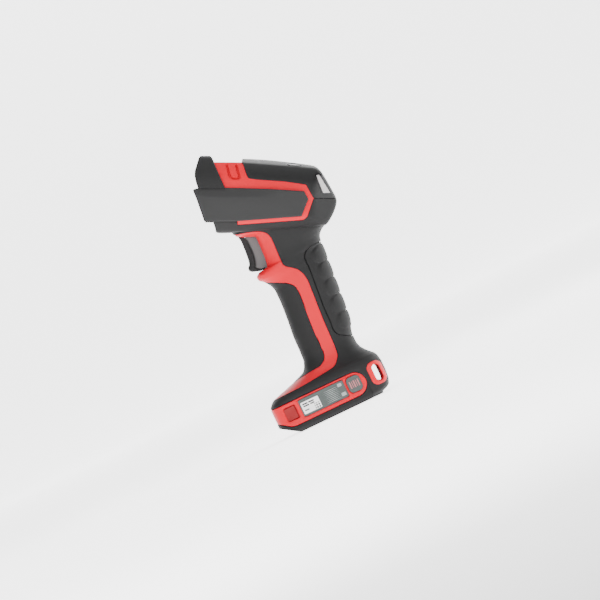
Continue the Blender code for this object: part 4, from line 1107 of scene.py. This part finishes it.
def nose_mesh():
    """A tube through stations of x, inset under the skin, and share of the way in to the window opening: over
    the front rim and back inside, with eight rows between each two stations."""
    turn = np.linspace(0, 2 * np.pi, 240, endpoint=False)[None, :]
    opening = oval_radius(turn, 14.4, 24.6, 9.0)
    rings = []
    for x, inset, share in NOSE_STATIONS:
        skin = on_barrel(placed(x, 30 * np.sin(turn), 72 + 30 * np.cos(turn)), inset)
        window = placed(x, opening * np.sin(turn), 72.9 + opening * np.cos(turn))
        ring = skin * (1 - share) + window * share
        ring[..., 2] = np.minimum(ring[..., 2], 94.0 if x > -62.5 else 95.3)
        ring[..., 0] = np.maximum(ring[..., 0], -60.1 - (ring[..., 2] - 54) * 0.172)
        rings.append(ring)
    rings = np.concatenate(rings + rings[:1])
    shares = np.linspace(0, 1, 8, endpoint=False)[:, None, None]
    steps = [first * (1 - shares) + second * shares for first, second in zip(rings[:-1], rings[1:])]
    points = np.concatenate(steps + [rings[:1]])
    return level(points).reshape(-1, 3), grid_faces(points.shape[0], points.shape[1], 0, True)


add_piece("nose_rim", [nose_mesh()], "scanner", black_plastic)

# ---- Status windows and sound slots ------------------------------------------------------------------
# A frosted lens in a glossy black bezel on each rear slope, lit from the board behind it. A sound slot lies
# on each shoulder over the beeper.

frosted = moulded("frosted_window", (0.40, 0.38, 0.38), (0.34, 0.32, 0.32), 0.30, 0.4, 0.01, 0.3)
bezel_gloss = moulded("bezel_gloss", (0.008, 0.008, 0.009), (0.005, 0.005, 0.006), 0.2, 0.5, 0.004)


def slope_plate(side, corners, proud, depth, radius, rows=60, columns=26):
    """A four-cornered patch on the barrel, with rolled borders."""
    a, b, c, d = corners
    patch = spanned(barrel_flank([a, b], side, columns), barrel_flank([d, c], side, columns),
                    barrel_flank([a, d], side, rows), barrel_flank([b, c], side, rows))
    return barrel_piece(crowd_rows(patch, 0.7), (radius,) * 4, -proud, depth)


def sound_slot_mesh(side):
    """A shallow oval dish with a raised rim at 0.86 of its reach, then back under itself."""
    turn = np.linspace(0, 2 * np.pi, 96, endpoint=False)[None, :]
    out, back = np.linspace(0.0, 1.0, 16)[:, None], np.linspace(1.0, 0.0, 8)[:, None]
    ring = np.concatenate([out, back])
    dish = 0.42 - 0.30 * smooth(0.86 - out, 0.0, 0.14) - 0.50 * smooth(out, 0.86, 1.0)
    lift = np.concatenate([dish, np.full(back.shape, -0.9)])
    points = placed(-4.0 + 5.6 * ring * np.cos(turn), side * (20.0 + 4.0 * ring * np.sin(turn)), 93.0)
    points = level(on_barrel(points, -lift))
    return points.reshape(-1, 3), grid_faces(points.shape[0], points.shape[1], 0, True)


BEZEL = [(10.1, 88.0), (15.1, 88.3), (23.7, 73.9), (15.2, 73.6)]
LENS = [(11.1, 86.8), (13.1, 87.0), (20.8, 74.7), (16.0, 74.5)]
for side, word in ((-1, "left"), (1, "right")):
    add_piece("window_bezel_" + word, [slope_plate(side, BEZEL, 0.28, 0.5, 0.5)],
              "scanner", bezel_gloss)
    add_piece("window_lens_" + word, [slope_plate(side, LENS, 0.50, 0.2, 0.4)],
              "scanner", frosted, ["status_window_" + word])
    add_piece("sound_slot_" + word, [sound_slot_mesh(side)],
              "scanner", bezel_gloss, ["beeper_grille"] if side < 0 else ())

# ---- Scan engine -------------------------------------------------------------------------------------
# Behind the nose: a coated glass window in a rubber gasket, then the camera lens, the aiming lens and two
# frosted lamps in a black chassis. They keep the frame's own shapes.


def window_glass():
    """Dark coated glass: violet-black with a hard shine and a faint haze of dust."""
    made = Finish("dark_glass", 0.06)
    haze = made.ramp(made.noise(220.0, 5.0), 0.5, 0.8)
    made.base(made.mix(haze, (0.012, 0.006, 0.012), (0.030, 0.018, 0.030)))
    made.rough(0.05 + 0.10 * haze)
    made.shader.inputs["Coat Weight"].default_value = 1.0
    made.shader.inputs["Coat Roughness"].default_value = 0.03
    return made.material


def dress(names, finish):
    """Give the frame's own parts their finish."""
    for name in names:
        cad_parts[name].data.materials.clear()
        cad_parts[name].data.materials.append(finish)


dress(["exit_window", "imager_lens", "aimer_lens"], window_glass())
dress(["lamp_upper", "lamp_lower"], frosted)
dress(["window_gasket"], black_rubber)
dress(["engine_chassis", "beeper", "trigger_bracket", "trigger_switch"], black_plastic)

# ---- Circuit boards, lead and battery cells ----------------------------------------------------------
# Green glass-fibre boards stand in the barrel and the pack. One round lead joins them down the grip, and two
# sleeved lithium cells lie side by side in the pack.


def board_finish():
    """Green solder mask over a net of copper tracks."""
    made = Finish("circuit_board", 0.4)
    tracks = made.add("ShaderNodeTexBrick", {}, {"Vector": made.place, "Scale": 260.0, "Mortar Size": 0.03,
                                                 "Color1": (0.02, 0.16, 0.06), "Color2": (0.02, 0.13, 0.05),
                                                 "Mortar": (0.05, 0.26, 0.10)})
    made.base(tracks)
    made.bump(made.noise(900.0), 0.2, 0.00003)
    return made.material


dress(["main_board", "radio_board", "status_lamp_board", "imager_board", "pack_board"], board_finish())
cable_rubber = moulded("lead_rubber", (0.03, 0.03, 0.03), (0.02, 0.02, 0.02), 0.6, 0.3, 0.02)
cell_sleeve = moulded("cell_sleeve", (0.05, 0.22, 0.45), (0.04, 0.18, 0.38), 0.35, 0.6, 0.01, 0.3)
dress(["wiring_harness"], cable_rubber)
dress(["battery_cell_left", "battery_cell_right"], cell_sleeve)

# ---- Screws, springs and contacts --------------------------------------------------------------------
# Plated steel screws and pins, the trigger's return spring, the radio's shield can, the vibration motor and
# the three brass blades that press into the pack.


def metal(name, color, roughness):
    """Plated metal: a grain drawn along X, slightly uneven in shine."""
    made = Finish(name, roughness, 1.0)
    drawn = made.add("ShaderNodeMapping", {}, {"Vector": made.place, "Scale": (60.0, 900.0, 900.0)})
    lines = made.add("ShaderNodeTexNoise", {}, {"Vector": drawn, "Scale": 1.0, "Detail": 4.0})
    made.base(made.mix(lines, tuple(0.82 * c for c in color), color))
    made.rough(roughness + 0.16 * (lines - 0.5))
    made.bump(lines, 0.2, 0.00003)
    return made.material


dress(["handle_screw_1", "handle_screw_2", "handle_screw_3", "chassis_screw_1", "chassis_screw_2",
       "chassis_screw_3", "chassis_screw_4", "trigger_pin", "trigger_spring", "shield_can",
       "vibration_motor"], metal("plated_steel", (0.62, 0.62, 0.63), 0.3))
dress(["contact_blade_1", "contact_blade_2", "contact_blade_3"],
      metal("contact_brass", (0.80, 0.60, 0.26), 0.25))
